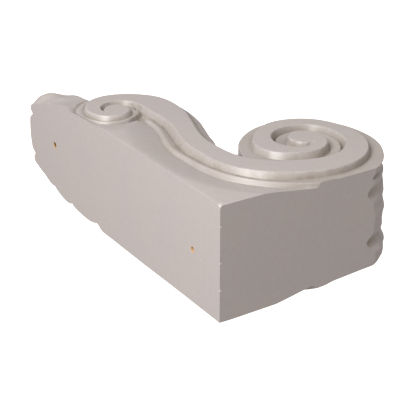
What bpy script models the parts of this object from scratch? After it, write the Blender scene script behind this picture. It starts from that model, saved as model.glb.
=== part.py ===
"""Scroll corbel: one block of hardwood carved into an S scroll with an acanthus leaf down its front.

Drawing coordinates (all in stock widths): s runs down the wall from the shelf face,
d runs out from the wall, w runs across the block from its centre plane.
The object itself: +Z up to the shelf, +Y into the wall, X across, origin on the wall face
on its centre line, at the height midway between the two screw holes.
"""
import math

import bmesh
import bpy
import numpy as np
from mathutils import Vector
from mathutils.geometry import delaunay_2d_cdt

# ---------------------------------------------------------------- driving dimensions
STOCK_WIDTH = 0.127            # metres across the block, side face to side face
HOLES = ((0.388, -0.025, 0.0027), (2.852, 0.040, 0.0036))      # s, w, radius in metres
HOLE_DEPTH = 0.020
HOLE_SIDES = 12
MOUNT_DROP = 0.5 * (HOLES[0][0] + HOLES[1][0])                 # s of the origin

BIG_EYE = (0.76, 1.38)         # centre of the large volute
SMALL_EYE = (2.27, 0.37)       # centre of the small volute
# Edge radii of the flat S band at each eighth of a turn.
# Large volute: counted from straight back to the wall, turning past the shelf first.
BIG_OUTER = (0.930, 0.782, 0.657, 0.540, 0.470, 0.468, 0.465, 0.440, 0.460, 0.355,
             0.265, 0.190, 0.150, 0.163, 0.170, 0.140, 0.125, 0.120, 0.125)
BIG_INNER = (0.710, 0.520, 0.425, 0.350, 0.310, 0.318, 0.300, 0.290, 0.270, 0.220, 0.130)
BIG_OUTER_TURNS = (18.1, 0.15) # from the eye to the sweep
BIG_INNER_TURNS = (10.05, 0.20)
# Small volute: counted from straight out, turning past the leaf end first.
SMALL_OUTER = (0.525, 0.450, 0.393, 0.292, 0.228, 0.182, 0.147, 0.127, 0.120, 0.127,
               0.130, 0.113, 0.106)
SMALL_INNER = (0.250, 0.248, 0.204, 0.150, 0.116, 0.110)
SMALL_OUTER_TURNS = (0.30, 12.3)            # from the sweep to the eye
SMALL_INNER_TURNS = (0.25, 4.35)

SWEEP_BACK = (0.445, 0.170, 1.08, 0.77)     # d at the volute, rise, start, length of the rise
SWEEP_FRONT = (0.642, 0.260, 1.08, 1.02)
SWEEP_BACK_SPAN = (0.95, 2.10) # s where each sweep begins and ends
SWEEP_FRONT_SPAN = (0.98, 2.02)

TOP_LEVEL = 0.506              # half width over the flat band
LEDGE_LEVEL = 0.451            # half width over the ledge that follows the band
RING_LEVEL = 0.470             # the same ledge round the small volute
WALL_RUN = 0.020               # plan run of the inner groove walls
SWEEP_PROFILE = (0.036, 0.106, 0.126)       # chamfer foot, ledge edge, outer foot
BIG_PROFILE = (0.016, 0.125, 0.133)
PROFILE_TURN = (1.25, 0.60)    # half turn where the second takes over, over
CROTCH_LEDGE = (7.6, 0.8, 0.070)            # where the ledge widens under the volute, over, by
CROTCH = (0.83, 0.772)         # s, d where the ledge stops and the hollow under the volute begins
CROTCH_TURN = 8.0              # and how far round the volute that is
FRONT_TURN = 1.5               # the outline of the front follows the ledge from this turn
GROOVE_STOP = (0.05, 0.45)     # the inner groove ends this far above the crotch, and behind the eye
RING_START = 0.02              # the ring's ledge begins this far past the small eye
RING_JOIN = 0.20               # run over which the outline moves out to it
RING_EYE = 0.135               # its outer wall stays this far from the eye
# Where else its width changes, turning with the volute: place, reach, gain.
LEDGE_WIDTHS = ((6.2, 1.5, -0.030), (2.25, 0.75, 0.018), (1.20, 0.45, 0.008),
                (-0.75, 0.45, 0.014), (-1.40, 0.30, -0.024))
LEDGE_LIFT = (0.15, 0.70, 0.010)            # the ledge stands higher under the volute: place, reach, by
LEDGE_BEAD = (0.013, 1.40, 0.25)            # rise of its outer edge, as far as the shelf, fading over
RING_PROFILE = (0.020, 0.058, 0.080)
RING_WIDTHS = ((3.2, 1.1, 0.026), (7.3, 0.9, 0.026))           # where it is wider: place, reach, gain
WEB_LEVEL = ((0.0, 1.2), (0.498, 0.512))    # half width of the plain side from the shelf down
DISH_DEPTH = 0.078             # hollow of the side web beside the scroll
DISH_REACH = 0.31
DISH_POWER = 1.4
LEAF_DISH_DEPTH = 0.070        # the same beside the small volute
LEAF_DISH_REACH = 0.17
LEAF_DISH_FROM = (1.75, 0.35)  # s where the one passes into the other, over
DISH_END = (2.58, 0.25, 0.80)  # s where the hollow dies out, over, by this share
WALL_RIM = (0.11, 0.80, 2.04, 0.14)         # d over which it dies out at the wall, share, from s, over

TAIL_START = 2.66              # leaf end below the small volute
TAIL_END = 3.365
TAIL_THICK = 0.325
TAIL_POWER = 1.70
LEAF_HALF = 0.512              # half width over the leaf margin at the wall face
LEAF_TAPER = (2.45, 3.37, 0.215, 1.6)       # the margins draw in: from, to, by, how late
LEAF_FLARE = (2.74, 0.25, 0.16, 0.038)      # the margins lean out: from s, over, over d, by
TIP_FLARE = (3.02, 0.25, 0.09, 0.050)       # and again at the leaf end
LEAF_LEAD = 0.12               # run of the first notch into the plain side
# Notches of the leaf's margins along the wall face: places and depths, each side cut by hand.
RIGHT_NOTCHES = ((2.05, 2.48, 2.95, 3.16, 3.37), (0.012, 0.024, 0.012, 0.010, 0.0))
LEFT_NOTCHES = ((2.05, 2.55, 2.92, 3.13, 3.37), (0.040, 0.046, 0.028, 0.014, 0.0))
NOTCH_FADE = 0.14              # d over which the notches run out
TIP_REACH = (0.055, 0.70)      # centre lobe of the leaf tip past its corners, half its width
TIP_SIDE = (0.88, 0.14, 0.012, 0.004)       # side lobe: place across, reach, length, set back
TIP_FROM = 2.90                # the lobes grow from here
TIP_NOTCH = (0.68, 0.15, 0.030)             # notch beside the centre lobe: place across, reach, depth

PAINT_COLOUR = (0.47, 0.43, 0.39)
PAINT_ROUGHNESS = 0.42
SHARP_ANGLE = math.radians(26.0)

FINE_STEP = 0.006              # sampling of the guide curves
MAX_TURN = math.radians(8.0)
MAX_LENGTH = 0.085
MIN_LENGTH = 0.016
LAST_SHARE = 0.6               # a last piece shorter than this share of it is joined to the one before
ON_LINE = 1e-4                 # points this close to an edge lie on it
EDGE_GAP = 0.010               # clear distance of a carving line from the outline
LINE_GAP = 0.006               # and from the lines already drawn
LEVEL_GAP = 0.0035             # a line is carved only where the face really has its level
WEB_LINES = ((0.0, 1.90, 1.70), (0.07, 1.82, 1.49), (0.17, 1.72, 1.19))    # off the foot, to s, to turn
FILL_PITCH = 0.085             # loose points between the carving lines
FILL_FROM = 0.05
FILL_TO = 2.0                  # past the block's depth
FILL_CLEAR = 0.45              # share of the pitch kept clear of those lines
SHELF_STEPS = 14               # border points along the shelf edge and the wall edge
WALL_STEPS = 46
COLUMNS = (0.0, 0.11, 0.24, 0.34, 0.45, 0.56, 0.67, 0.78, 0.86, 0.94, 1.0)

UPPER_PITCH = 0.40             # lobe spacing of the leaf over the large volute
UPPER_SLANT = 0.30             # the creases run this far back at the margins
UPPER_CREASE = (0.56, 0.34, 0.026)          # creases between lobes: place across, reach, depth
UPPER_CURL = (0.60, 0.10, 0.62, 0.060)      # turned-over tip: share of the run, reach, width, swell
UPPER_END = (0.62, 0.14)       # share of the run where the leaf ends, over
SCOOP = (0.50, 0.25, 0.15, 0.078, 1.5)      # scoops at the shelf edge: across, reach, run, depth, form
EDGE_TURN = 0.10               # within this of shelf or wall the relief moves along that face
# Its relief across: places, then the heights of its right and of its left half, cut by hand.
UPPER_ACROSS = ((0.0, 0.11, 0.24, 0.34, 0.48, 0.60, 0.72, 0.80, 0.90, 1.0),
                (0.030, 0.022, 0.004, 0.018, 0.010, 0.000, 0.008, -0.030, -0.004, 0.0),
                (0.030, 0.022, 0.006, 0.002, -0.014, 0.000, 0.026, 0.016, 0.020, 0.0))
# The left side stands a little prouder under the shelf.
WEB_UNEVEN = (0.75, 1.05, 0.034, 0.90)      # left web: d, reach, gain, fades out down to s
LEFT_LEVEL = 0.510             # the left side's greatest half width there
FRONT_UNEVEN = (1.20, 0.40, 0.050, 0.65)    # left front corner: from d, over, gain, fades out by s
LEFT_SPREAD = 0.5              # share of the half width over which the left side takes over
LOWER_PITCH = 0.36             # the leaf from the waist to the tip
LOWER_SLANT = 0.34
LOWER_CREASE = (0.56, 0.32, 0.030, 0.08)    # place across, reach, depth, full where this thick
LOWER_HEIGHT = ((0.0, 0.05, 0.17, 0.32, 0.42, 0.60, 0.75, 0.90, 1.0),
                (0.014, 0.080, 0.142, 0.136, 0.106, 0.080, 0.126, 0.116, 0.0))
LOWER_ACROSS = ((0.0, 0.11, 0.24, 0.34, 0.60, 0.78, 0.86, 0.94, 1.0),
                (1.0, 0.86, 0.66, 0.80, 1.0, 0.95, 0.78, 0.45, 0.0))


# ---------------------------------------------------------------- curve helpers
def eased(values, x):
    """Catmull-Rom value through evenly spaced values."""
    x = np.asarray(x, float)
    v = np.asarray(values, float)
    i = np.clip(np.floor(x).astype(int), 0, len(v) - 2)
    t = x - i
    a = v[np.clip(i - 1, 0, len(v) - 1)]
    b = v[i]
    c = v[i + 1]
    d = v[np.clip(i + 2, 0, len(v) - 1)]
    return b + 0.5 * t * (c - a + t * (2 * a - 5 * b + 4 * c - d + t * (3 * (b - c) + d - a)))


def smooth(x):
    x = np.clip(x, 0.0, 1.0)
    return x * x * (3.0 - 2.0 * x)


def bump(x):
    """One for x = 0, falling smoothly to zero at x = -1 and 1."""
    return np.where(np.abs(x) < 1.0, 0.5 + 0.5 * np.cos(math.pi * np.clip(x, -1.0, 1.0)), 0.0)


def even(points, step=FINE_STEP):
    """The same curve with evenly spaced points."""
    seg = np.linalg.norm(np.diff(points, axis=0), axis=1)
    run = np.concatenate([[0.0], np.cumsum(seg)])
    n = max(2, int(round(run[-1] / step)) + 1)
    at = np.linspace(0.0, run[-1], n)
    return np.stack([np.interp(at, run, points[:, k]) for k in range(2)], 1)


def join(p0, t0, p1, t1, n=24):
    """Cubic from p0 to p1 leaving along t0 and arriving along t1."""
    u = np.linspace(0.0, 1.0, n)[:, None]
    size = np.linalg.norm(p1 - p0)
    t0 = t0 / np.linalg.norm(t0) * size
    t1 = t1 / np.linalg.norm(t1) * size
    return ((2 * u**3 - 3 * u**2 + 1) * p0 + (u**3 - 2 * u**2 + u) * t0
            + (3 * u**2 - 2 * u**3) * p1 + (u**3 - u**2) * t1)


def big_volute(radii, start, end):
    turn = np.linspace(start, end, int(abs(end - start) * 40) + 2)
    r = eased(radii, turn)
    a = turn * math.pi / 4.0
    return np.stack([BIG_EYE[0] - r * np.sin(a), BIG_EYE[1] - r * np.cos(a)], 1)


def small_volute(radii, start, end):
    turn = np.linspace(start, end, int(abs(end - start) * 40) + 2)
    r = eased(radii, turn)
    a = turn * math.pi / 4.0
    return np.stack([SMALL_EYE[0] + r * np.sin(a), SMALL_EYE[1] + r * np.cos(a)], 1)


def sweep(rule, s0, s1):
    level, rise, start, length = rule
    s = np.linspace(s0, s1, 120)
    return np.stack([s, level + rise * smooth((s - start) / length)], 1)


def chain(first, second):
    """Two curves with a smooth cubic across the gap between them."""
    return np.concatenate([first, join(first[-1], first[-1] - first[-2], second[0],
                                       second[1] - second[0])[1:-1], second])


# ---------------------------------------------------------------- the flat S band
def band_edges():
    """Back edge and front edge of the flat band, both from the large eye to the small eye."""
    out_big = big_volute(BIG_OUTER, *BIG_OUTER_TURNS)
    back_sweep = sweep(SWEEP_BACK, *SWEEP_BACK_SPAN)
    in_small = small_volute(SMALL_INNER, *SMALL_INNER_TURNS)
    back = chain(chain(out_big, back_sweep), in_small)
    in_big = big_volute(BIG_INNER, *BIG_INNER_TURNS)
    front_sweep = sweep(SWEEP_FRONT, *SWEEP_FRONT_SPAN)
    out_small = small_volute(SMALL_OUTER, *SMALL_OUTER_TURNS)
    front = chain(chain(in_big, front_sweep), out_small)
    return even(back), even(front)


def normals(points, side):
    t = np.gradient(points, axis=0)
    t /= np.linalg.norm(t, axis=1)[:, None]
    return side * np.stack([-t[:, 1], t[:, 0]], 1)


def inside(points, polygon):
    """Even-odd test of many points against one closed polygon."""
    result = np.zeros(len(points), bool)
    a = polygon
    b = np.roll(polygon, -1, axis=0)
    for k in range(0, len(points), 400):
        p = points[k:k + 400]
        x = p[:, 0][:, None]
        y = p[:, 1][:, None]
        crosses = (a[:, 1] > y) != (b[:, 1] > y)
        span = np.where(b[:, 1] == a[:, 1], 1.0, b[:, 1] - a[:, 1])
        at = a[:, 0] + (y - a[:, 1]) / span * (b[:, 0] - a[:, 0])
        result[k:k + 400] = (np.sum(crosses & (x < at), axis=1) % 2) == 1
    return result


def nearest(points, curve):
    """Distance to a curve given by its points and the index of the closest one."""
    distance = np.zeros(len(points))
    index = np.zeros(len(points), int)
    for k in range(0, len(points), 400):
        delta = points[k:k + 400, None, :] - curve[None, :, :]
        square = np.einsum("ijk,ijk->ij", delta, delta)
        index[k:k + 400] = np.argmin(square, axis=1)
        distance[k:k + 400] = np.sqrt(np.min(square, axis=1))
    return distance, index


BACK_EDGE, FRONT_EDGE = band_edges()
BAND = np.concatenate([BACK_EDGE, FRONT_EDGE[::-1]])
BACK_NORMAL = normals(BACK_EDGE, -1.0)
FRONT_NORMAL = normals(FRONT_EDGE, 1.0)
BACK_TURN = np.unwrap(np.arctan2(BIG_EYE[0] - BACK_EDGE[:, 0], BIG_EYE[1] - BACK_EDGE[:, 1]))
BACK_TURN = BIG_OUTER_TURNS[0] + (BACK_TURN - BACK_TURN[0]) / (math.pi / 4.0)
RING_FROM = int(np.argmax(FRONT_EDGE[:, 0] > SMALL_EYE[0] + RING_START))
FRONT_GROOVE_TO = int(np.flatnonzero((FRONT_EDGE[:, 0] < CROTCH[0] - GROOVE_STOP[0])
                                     & (FRONT_EDGE[:, 1] < BIG_EYE[1] - GROOVE_STOP[1]))[-1])


SMALL_FROM = int(np.argmax(BACK_EDGE[:, 0] > SMALL_EYE[0]))
LEDGE_EDGE = BACK_EDGE[:SMALL_FROM]
RING_EDGE = FRONT_EDGE[RING_FROM:]
GROOVE_EDGE = np.concatenate([FRONT_EDGE[:FRONT_GROOVE_TO], BACK_EDGE[SMALL_FROM:]])
RING_TURN = np.unwrap(np.arctan2(RING_EDGE[:, 0] - SMALL_EYE[0], RING_EDGE[:, 1] - SMALL_EYE[1]))
RING_TURN = RING_TURN / (math.pi / 4.0)


def back_profiles():
    """Chamfer foot, ledge edge and outer foot offsets for every point of the back edge."""
    near = smooth((PROFILE_TURN[0] - BACK_TURN) / PROFILE_TURN[1])
    profile = np.outer(1 - near, BIG_PROFILE) + np.outer(near, SWEEP_PROFILE)
    start, over, gain = CROTCH_LEDGE
    wider = gain * smooth((BACK_TURN - start) / over)
    for where, reach, gain in LEDGE_WIDTHS:
        wider += gain * bump((BACK_TURN - where) / reach)
    profile[:, 1] += wider
    profile[:, 2] += wider
    return profile


def ring_profiles():
    """The same offsets for every point of the small volute's outer edge."""
    profile = np.repeat(np.array([RING_PROFILE]), len(RING_EDGE), axis=0)
    for where, reach, gain in RING_WIDTHS:
        profile[:, 1:] += gain * bump((RING_TURN - where) / reach)[:, None]
    return profile


RING_BANDS = ring_profiles()
BACK_PROFILE = back_profiles()
BACK_LEDGE = LEDGE_LEVEL + LEDGE_LIFT[2] * bump((BACK_TURN - LEDGE_LIFT[0]) / LEDGE_LIFT[1])
BACK_BEAD = LEDGE_BEAD[0] * (1.0 - smooth((BACK_TURN - LEDGE_BEAD[1]) / LEDGE_BEAD[2]))


# ---------------------------------------------------------------- heights of the side face
def margin(s):
    """Half width over the side margins, notches left out."""
    start, end, loss, power = LEAF_TAPER
    half = LEAF_HALF - loss * np.clip((s - start) / (end - start), 0.0, 1.1) ** power
    return np.where(s < RIGHT_NOTCHES[0][0], np.interp(s, *WEB_LEVEL), half)


def notched(s, d, notches):
    """Depth of the notches between the lobes of a side margin."""
    places, depths = notches
    cut = depths[0] * smooth((s - places[0]) / LEAF_LEAD + 1.0) * (s < places[0])
    for k in range(len(places) - 1):
        a = places[k]
        b = places[k + 1]
        x = np.clip((s - a) / (b - a), 0.0, 1.0)
        depth = depths[k] * (1 - x) + depths[k + 1] * x
        lobe = np.sqrt(np.sin(math.pi * x).clip(0.0, 1.0))
        cut = np.where((s >= a) & (s <= b), depth * (1.0 - lobe), cut)
    return cut * (1.0 - smooth(d / NOTCH_FADE))


def ground(s, d, q):
    """Level of the side face away from the scroll, q past the outer foot of its ledge."""
    low = smooth((s - LEAF_DISH_FROM[0]) / LEAF_DISH_FROM[1])
    depth = DISH_DEPTH * (1 - low) + LEAF_DISH_DEPTH * low
    reach = DISH_REACH * (1 - low) + LEAF_DISH_REACH * low
    start, over, share = DISH_END
    fade = 1.0 - share * smooth((s - start) / over)
    rim, share, start, over = WALL_RIM
    fade = fade * (1.0 - share * smooth((s - start) / over) * (1.0 - smooth(d / rim)))
    level = margin(s) - notched(s, d, RIGHT_NOTCHES)
    for start, over, rise, gain in (LEAF_FLARE, TIP_FLARE):
        level = level + gain * smooth((s - start) / over) * smooth(d / rise)
    return level - fade * depth * np.clip(1.0 - q / reach, 0.0, 1.0) ** DISH_POWER


def stepped(n, profile, ledge, bead, base):
    """Chamfer, ledge and outer wall at distance n outside a band edge."""
    foot, edge, outer = profile[:, 0], profile[:, 1], profile[:, 2]
    level = TOP_LEVEL + (ledge - TOP_LEVEL) * np.clip(n / foot, 0.0, 1.0)
    level = np.where(n > foot, ledge + bead * (n - foot) / (edge - foot), level)
    past = np.clip((n - edge) / (outer - edge), 0.0, 1.0)
    top = ledge + bead
    level = np.where(n > edge, top + (np.minimum(base, top) - top) * past, level)
    return np.where(n > outer, base, level)


def half_width(points):
    """Half width of the block over each point of the side face."""
    points = np.asarray(points, float)
    n_back, i = nearest(points, LEDGE_EDGE)
    n_ring, k = nearest(points, RING_EDGE)
    n_wall, _ = nearest(points, GROOVE_EDGE)
    profile = BACK_PROFILE[i]
    ring = RING_BANDS[k]
    past = np.clip(np.minimum(n_back - profile[:, 2], n_ring - ring[:, 2]), 0.0, None)
    base = ground(points[:, 0], points[:, 1], past)
    level = np.maximum(stepped(n_back, profile, BACK_LEDGE[i], BACK_BEAD[i], base),
                       stepped(n_ring, ring, RING_LEVEL, 0.0, base))
    wall = TOP_LEVEL + (LEDGE_LEVEL - TOP_LEVEL) * n_wall / WALL_RUN
    level = np.maximum(level, np.where(n_wall < WALL_RUN, wall, 0.0))
    on_edge = nearest(points, BAND)[0] < ON_LINE
    return np.where(inside(points, BAND) | on_edge, TOP_LEVEL, level)



# ---------------------------------------------------------------- outline of the side face
def tail_depth(s):
    u = np.clip((np.asarray(s, float) - TAIL_START) / (TAIL_END - TAIL_START), 0.0, 1.0)
    return TAIL_THICK * (1.0 - u ** TAIL_POWER) ** (1.0 / TAIL_POWER)


def outline():
    """Front outline of the side face from the shelf edge to the leaf end."""
    ledge = BACK_EDGE + BACK_NORMAL * BACK_PROFILE[:, 1][:, None]
    stop = np.flatnonzero((np.abs(BACK_TURN - CROTCH_TURN) < 1.0) & (ledge[:, 0] < CROTCH[0]))[-1]
    run = np.flatnonzero((ledge[:, 0] > 0) & (BACK_TURN > FRONT_TURN) & (BACK_TURN < BACK_TURN[stop]))[::-1]
    first = run[0]
    before = ledge[first + 1]
    f = -before[0] / (ledge[first, 0] - before[0])
    start = before + f * (ledge[first] - before)
    ring = np.concatenate([[start], ledge[run]])
    turn = np.cumsum(np.ones(len(FRONT_EDGE) - RING_FROM)) * FINE_STEP
    offset = np.zeros(len(FRONT_EDGE))
    offset[RING_FROM:] = RING_BANDS[:, 1] * smooth(turn / RING_JOIN)
    front = FRONT_EDGE + FRONT_NORMAL * offset[:, None]
    body = front[FRONT_GROOVE_TO:]
    below = np.flatnonzero((body[:, 0] > TAIL_START) & (body[:, 1] < tail_depth(body[:, 0])))
    body = body[:int(below[0])]
    first_s = body[-1, 0] + 0.5 * FINE_STEP
    u = np.linspace(0.0, 1.0, 160)
    s = first_s + (TAIL_END - first_s) * np.sin(u * math.pi / 2)
    tail = np.stack([s, tail_depth(s)], 1)
    return ring, body, tail


def thin(points, turn=MAX_TURN, longest=MAX_LENGTH, shortest=MIN_LENGTH):
    """Fewer points along a finely sampled curve, closer together where it bends."""
    keep = [0]
    bend = 0.0
    run = 0.0
    for k in range(1, len(points) - 1):
        a = points[k] - points[k - 1]
        b = points[k + 1] - points[k]
        run += float(np.linalg.norm(a))
        bend += abs(math.atan2(a[0] * b[1] - a[1] * b[0], float(a @ b)))
        if run >= longest or (bend >= turn and run >= shortest):
            keep.append(k)
            bend = 0.0
            run = 0.0
    last = float(np.linalg.norm(points[-1] - points[keep[-1]]))
    if last < shortest * LAST_SHARE and len(keep) > 1:
        keep.pop()
    keep.append(len(points) - 1)
    return points[keep]


# ---------------------------------------------------------------- leaf relief on the front
def lobes(run, v, pitch, slant):
    """Leaf lobes along the run: one over each lobe, zero in the creases between them."""
    phase = (run - slant * np.abs(v)) / pitch
    x = phase - np.floor(phase)
    return np.sqrt(np.clip(np.sin(math.pi * x), 0.0, 1.0))


def upper_relief(run, total, v):
    """Leaf over the large volute: run from the shelf edge, v across (-1 to 1)."""
    x = np.abs(v)
    share = run / total
    lobe = lobes(run, v, UPPER_PITCH, UPPER_SLANT)
    places, right, left = UPPER_ACROSS
    across = np.where(v < 0.0, np.interp(x, places, left), np.interp(x, places, right))
    place, reach, depth = UPPER_CREASE
    across = across - depth * (1.0 - lobe) * bump((x - place) / reach)
    across = across * (1.0 - smooth((share - UPPER_END[0]) / UPPER_END[1]))
    place, reach, length, depth, form = SCOOP
    scoop = depth * bump((x - place) / reach) * np.clip(1.0 - run / length, 0.0, 1.0) ** form
    place, reach, width, swell = UPPER_CURL
    curl = swell * bump((share - place) / reach) * np.clip(1.0 - (x / width) ** 4, 0.0, 1.0)
    return across - scoop + curl


def lower_relief(run, total, v):
    """Leaf from the waist to the tip: run from the hollow under the volute."""
    x = np.abs(v)
    t = run / total
    height = np.interp(t, LOWER_HEIGHT[0], LOWER_HEIGHT[1])
    crown = np.interp(x, LOWER_ACROSS[0], LOWER_ACROSS[1])
    lobe = lobes(run, v, LOWER_PITCH, LOWER_SLANT)
    place, reach, depth, thick = LOWER_CREASE
    crease = depth * (1.0 - lobe) * bump((x - place) / reach)
    return height * crown - crease * smooth(height / thick)


def tip_reach(v):
    """How far the leaf tip runs past its corners."""
    x = np.abs(v)
    length, width = TIP_REACH
    centre = length * np.sqrt(np.clip(1.0 - (x / width) ** 2, 0.0, 1.0))
    place, reach, length, back = TIP_SIDE
    side = length * bump((x - place) / reach) - back
    place, reach, depth = TIP_NOTCH
    return np.maximum(centre, side) - depth * bump((x - place) / reach)


def left_side(s, d, w):
    """The left side's own position of a point of the right side, w counted outwards."""
    place, reach, gain, fade = WEB_UNEVEN
    prouder = w + gain * bump((d - place) / reach) * (1.0 - smooth(s / fade))
    w = np.minimum(prouder, np.maximum(w, LEFT_LEVEL))
    w = w + notched(s, d, RIGHT_NOTCHES) - notched(s, d, LEFT_NOTCHES)
    start, over, gain, fade = FRONT_UNEVEN
    d = d + gain * smooth((d - start) / over) * (1.0 - smooth(s / fade))
    return s, d, w


def front_rows(front, half):
    """Rows of points across the front of the block, one row per outline point."""
    seg = np.linalg.norm(np.diff(front, axis=0), axis=1)
    run = np.concatenate([[0.0], np.cumsum(seg)])
    corner = int(np.argmin(np.hypot(front[:, 0] - CROTCH[0], front[:, 1] - CROTCH[1])))
    upper_total = run[corner]
    lower_total = run[-1] - run[corner + 1]
    across = np.array(COLUMNS)
    v = np.concatenate([-across[:0:-1], across])
    tangent = np.gradient(front, axis=0)
    tangent[0] = front[1] - front[0]
    tangent /= np.linalg.norm(tangent, axis=1)[:, None]
    normal = np.stack([-tangent[:, 1], tangent[:, 0]], 1)
    rows = []
    for k, (s, d) in enumerate(front):
        if k <= corner:
            relief = upper_relief(np.full(len(v), run[k]), upper_total, v)
        else:
            relief = lower_relief(np.full(len(v), run[k] - run[corner + 1]), lower_total, v)
        n = normal[k] * np.clip(np.array([s, d]) / EDGE_TURN, 0.0, 1.0)
        n /= np.linalg.norm(n)
        reach = tip_reach(v) * np.clip((s - TIP_FROM) / (TAIL_END - TIP_FROM), 0.0, 1.0) ** 3
        if k == len(front) - 1:
            relief = np.zeros(len(v))
        relief[0] = 0.0
        relief[-1] = 0.0
        reach[0] = 0.0
        reach[-1] = 0.0
        _, left_d, left_w = left_side(s, d, half[k])
        out = smooth(-v / LEFT_SPREAD)
        wide = np.where(v < 0.0, left_w, half[k])
        row = np.stack([s + n[0] * relief + reach, d + n[1] * relief + out * (left_d - d), v * wide], 1)
        row[:, 0] = np.maximum(row[:, 0], 0.0)
        row[:, 1] = np.maximum(row[:, 1], 0.0)
        rows.append(row)
    return rows


# ---------------------------------------------------------------- side face as a triangulated plan
def feature_lines(border):
    """Carving lines of the side face, each thinned and kept only where nothing covers it."""
    lines = []
    placed = [even(np.concatenate([border, border[:1]]))]

    def add(points, level, mask):
        ok = mask & inside(points, border)
        ok &= nearest(points, placed[0])[0] > EDGE_GAP
        ok &= nearest(points, np.concatenate(placed))[0] > LINE_GAP
        if level is not None:
            ok &= np.abs(half_width(points) - level) < LEVEL_GAP
        idx = np.flatnonzero(ok)
        if len(idx) < 4:
            return
        for part in np.split(idx, np.flatnonzero(np.diff(idx) > 1) + 1):
            if len(part) >= 6:
                lines.append(thin(points[part]))
                placed.append(points[part])

    along = np.arange(len(BACK_EDGE))
    ledged = along < SMALL_FROM
    add(BACK_EDGE, None, along >= 0)
    for k in (0, 1):
        add(BACK_EDGE + BACK_NORMAL * BACK_PROFILE[:, k][:, None], BACK_LEDGE + k * BACK_BEAD, ledged)
    for away, until, turn in WEB_LINES:
        curve = BACK_EDGE + BACK_NORMAL * (BACK_PROFILE[:, 2] + away)[:, None]
        add(curve, None, (BACK_TURN < turn) & (BACK_EDGE[:, 0] < until))
    add(BACK_EDGE + BACK_NORMAL * WALL_RUN, LEDGE_LEVEL, ~ledged)
    along = np.arange(len(FRONT_EDGE))
    grooved = along < FRONT_GROOVE_TO
    ringed = along > RING_FROM
    add(FRONT_EDGE, None, grooved | ringed)
    add(FRONT_EDGE + FRONT_NORMAL * WALL_RUN, LEDGE_LEVEL, grooved)
    ring_normal = FRONT_NORMAL[RING_FROM:]
    for k in (0, 1):
        add(RING_EDGE + ring_normal * RING_BANDS[:, k][:, None], RING_LEVEL, RING_TURN > 0.0)
    from_eye = np.hypot(RING_EDGE[:, 0] - SMALL_EYE[0], RING_EDGE[:, 1] - SMALL_EYE[1])
    add(RING_EDGE + ring_normal * RING_BANDS[:, 2][:, None], None, from_eye > RING_EYE)
    return lines, np.concatenate(placed)


def fill_points(border, placed):
    """A loose grid of extra points where no carving line comes near."""
    s, d = np.meshgrid(np.arange(FILL_FROM, TAIL_END, FILL_PITCH), np.arange(FILL_FROM, FILL_TO, FILL_PITCH))
    d = d + 0.5 * FILL_PITCH * (np.arange(s.shape[1]) % 2)
    grid = np.stack([s.ravel(), d.ravel()], 1)
    return grid[inside(grid, border) & (nearest(grid, placed)[0] > FILL_CLEAR * FILL_PITCH)]


def side_plan(front):
    """Triangulated side face: points, half widths, triangles and the ordered border loop."""
    shelf = np.stack([np.zeros(SHELF_STEPS), np.linspace(0.0, front[0, 1], SHELF_STEPS)], 1)
    back = np.stack([np.linspace(front[-1, 0], 0.0, WALL_STEPS), np.zeros(WALL_STEPS)], 1)
    border = np.concatenate([shelf[:-1], front[:-1], back[:-1]])
    points = [Vector(p) for p in border]
    edges = [(k, (k + 1) % len(border)) for k in range(len(border))]
    lines, placed = feature_lines(border)
    points.extend(Vector(p) for p in fill_points(border, placed))
    for line in lines:
        first = len(points)
        points.extend(Vector(p) for p in line)
        edges.extend((first + k, first + k + 1) for k in range(len(line) - 1))
    found, _, faces, _, _, _ = delaunay_2d_cdt(points, edges, [], 1, 1e-6)
    flat = np.array([(p.x, p.y) for p in found])
    centre = np.array([flat[list(f)].mean(axis=0) for f in faces])
    faces = [f for f, ok in zip(faces, inside(centre, border)) if ok]
    count = {}
    for f in faces:
        for a, b in zip(f, f[1:] + f[:1]):
            key = (min(a, b), max(a, b))
            count[key] = count.get(key, 0) + 1
    link = {}
    for (a, b), n in count.items():
        if n == 1:
            link.setdefault(a, []).append(b)
            link.setdefault(b, []).append(a)
    start = int(np.argmin(np.hypot(flat[:, 0], flat[:, 1] - front[0, 1])))
    step = [k for k in link[start] if flat[k, 0] > ON_LINE][0]
    loop = [start]
    while step != start:
        loop.append(step)
        ahead = [k for k in link[step] if k != loop[-2]]
        step = ahead[0]
    return flat, half_width(flat), faces, loop


# ---------------------------------------------------------------- the whole block
def to_object(p):
    """Drawing coordinates to metres in the object's own frame."""
    return (p[2] * STOCK_WIDTH, -p[1] * STOCK_WIDTH, (MOUNT_DROP - p[0]) * STOCK_WIDTH)


def cap(bm, loop, axes, holes):
    """Flat face inside a loop of vertices, open over the holes."""
    verts = list(loop)
    rings = [range(len(loop))]
    for hole in holes:
        rings.append(range(len(verts), len(verts) + len(hole)))
        verts.extend(hole)
    spots = [Vector((v.co[axes[0]], v.co[axes[1]])) / STOCK_WIDTH for v in verts]
    edges = [(r[k], r[(k + 1) % len(r)]) for r in rings for k in range(len(r))]
    found, _, faces, origin, _, _ = delaunay_2d_cdt(spots, edges, [], 1, 1e-9)
    flat = np.array([tuple(p) for p in found])
    centre = np.array([flat[list(f)].mean(axis=0) for f in faces])
    keep = inside(centre, np.array([tuple(spots[k]) for k in rings[0]]))
    for r in rings[1:]:
        keep &= ~inside(centre, np.array([tuple(spots[k]) for k in r]))
    for f, ok in zip(faces, keep):
        if ok:
            bm.faces.new([verts[origin[k][0]] for k in f])


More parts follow.
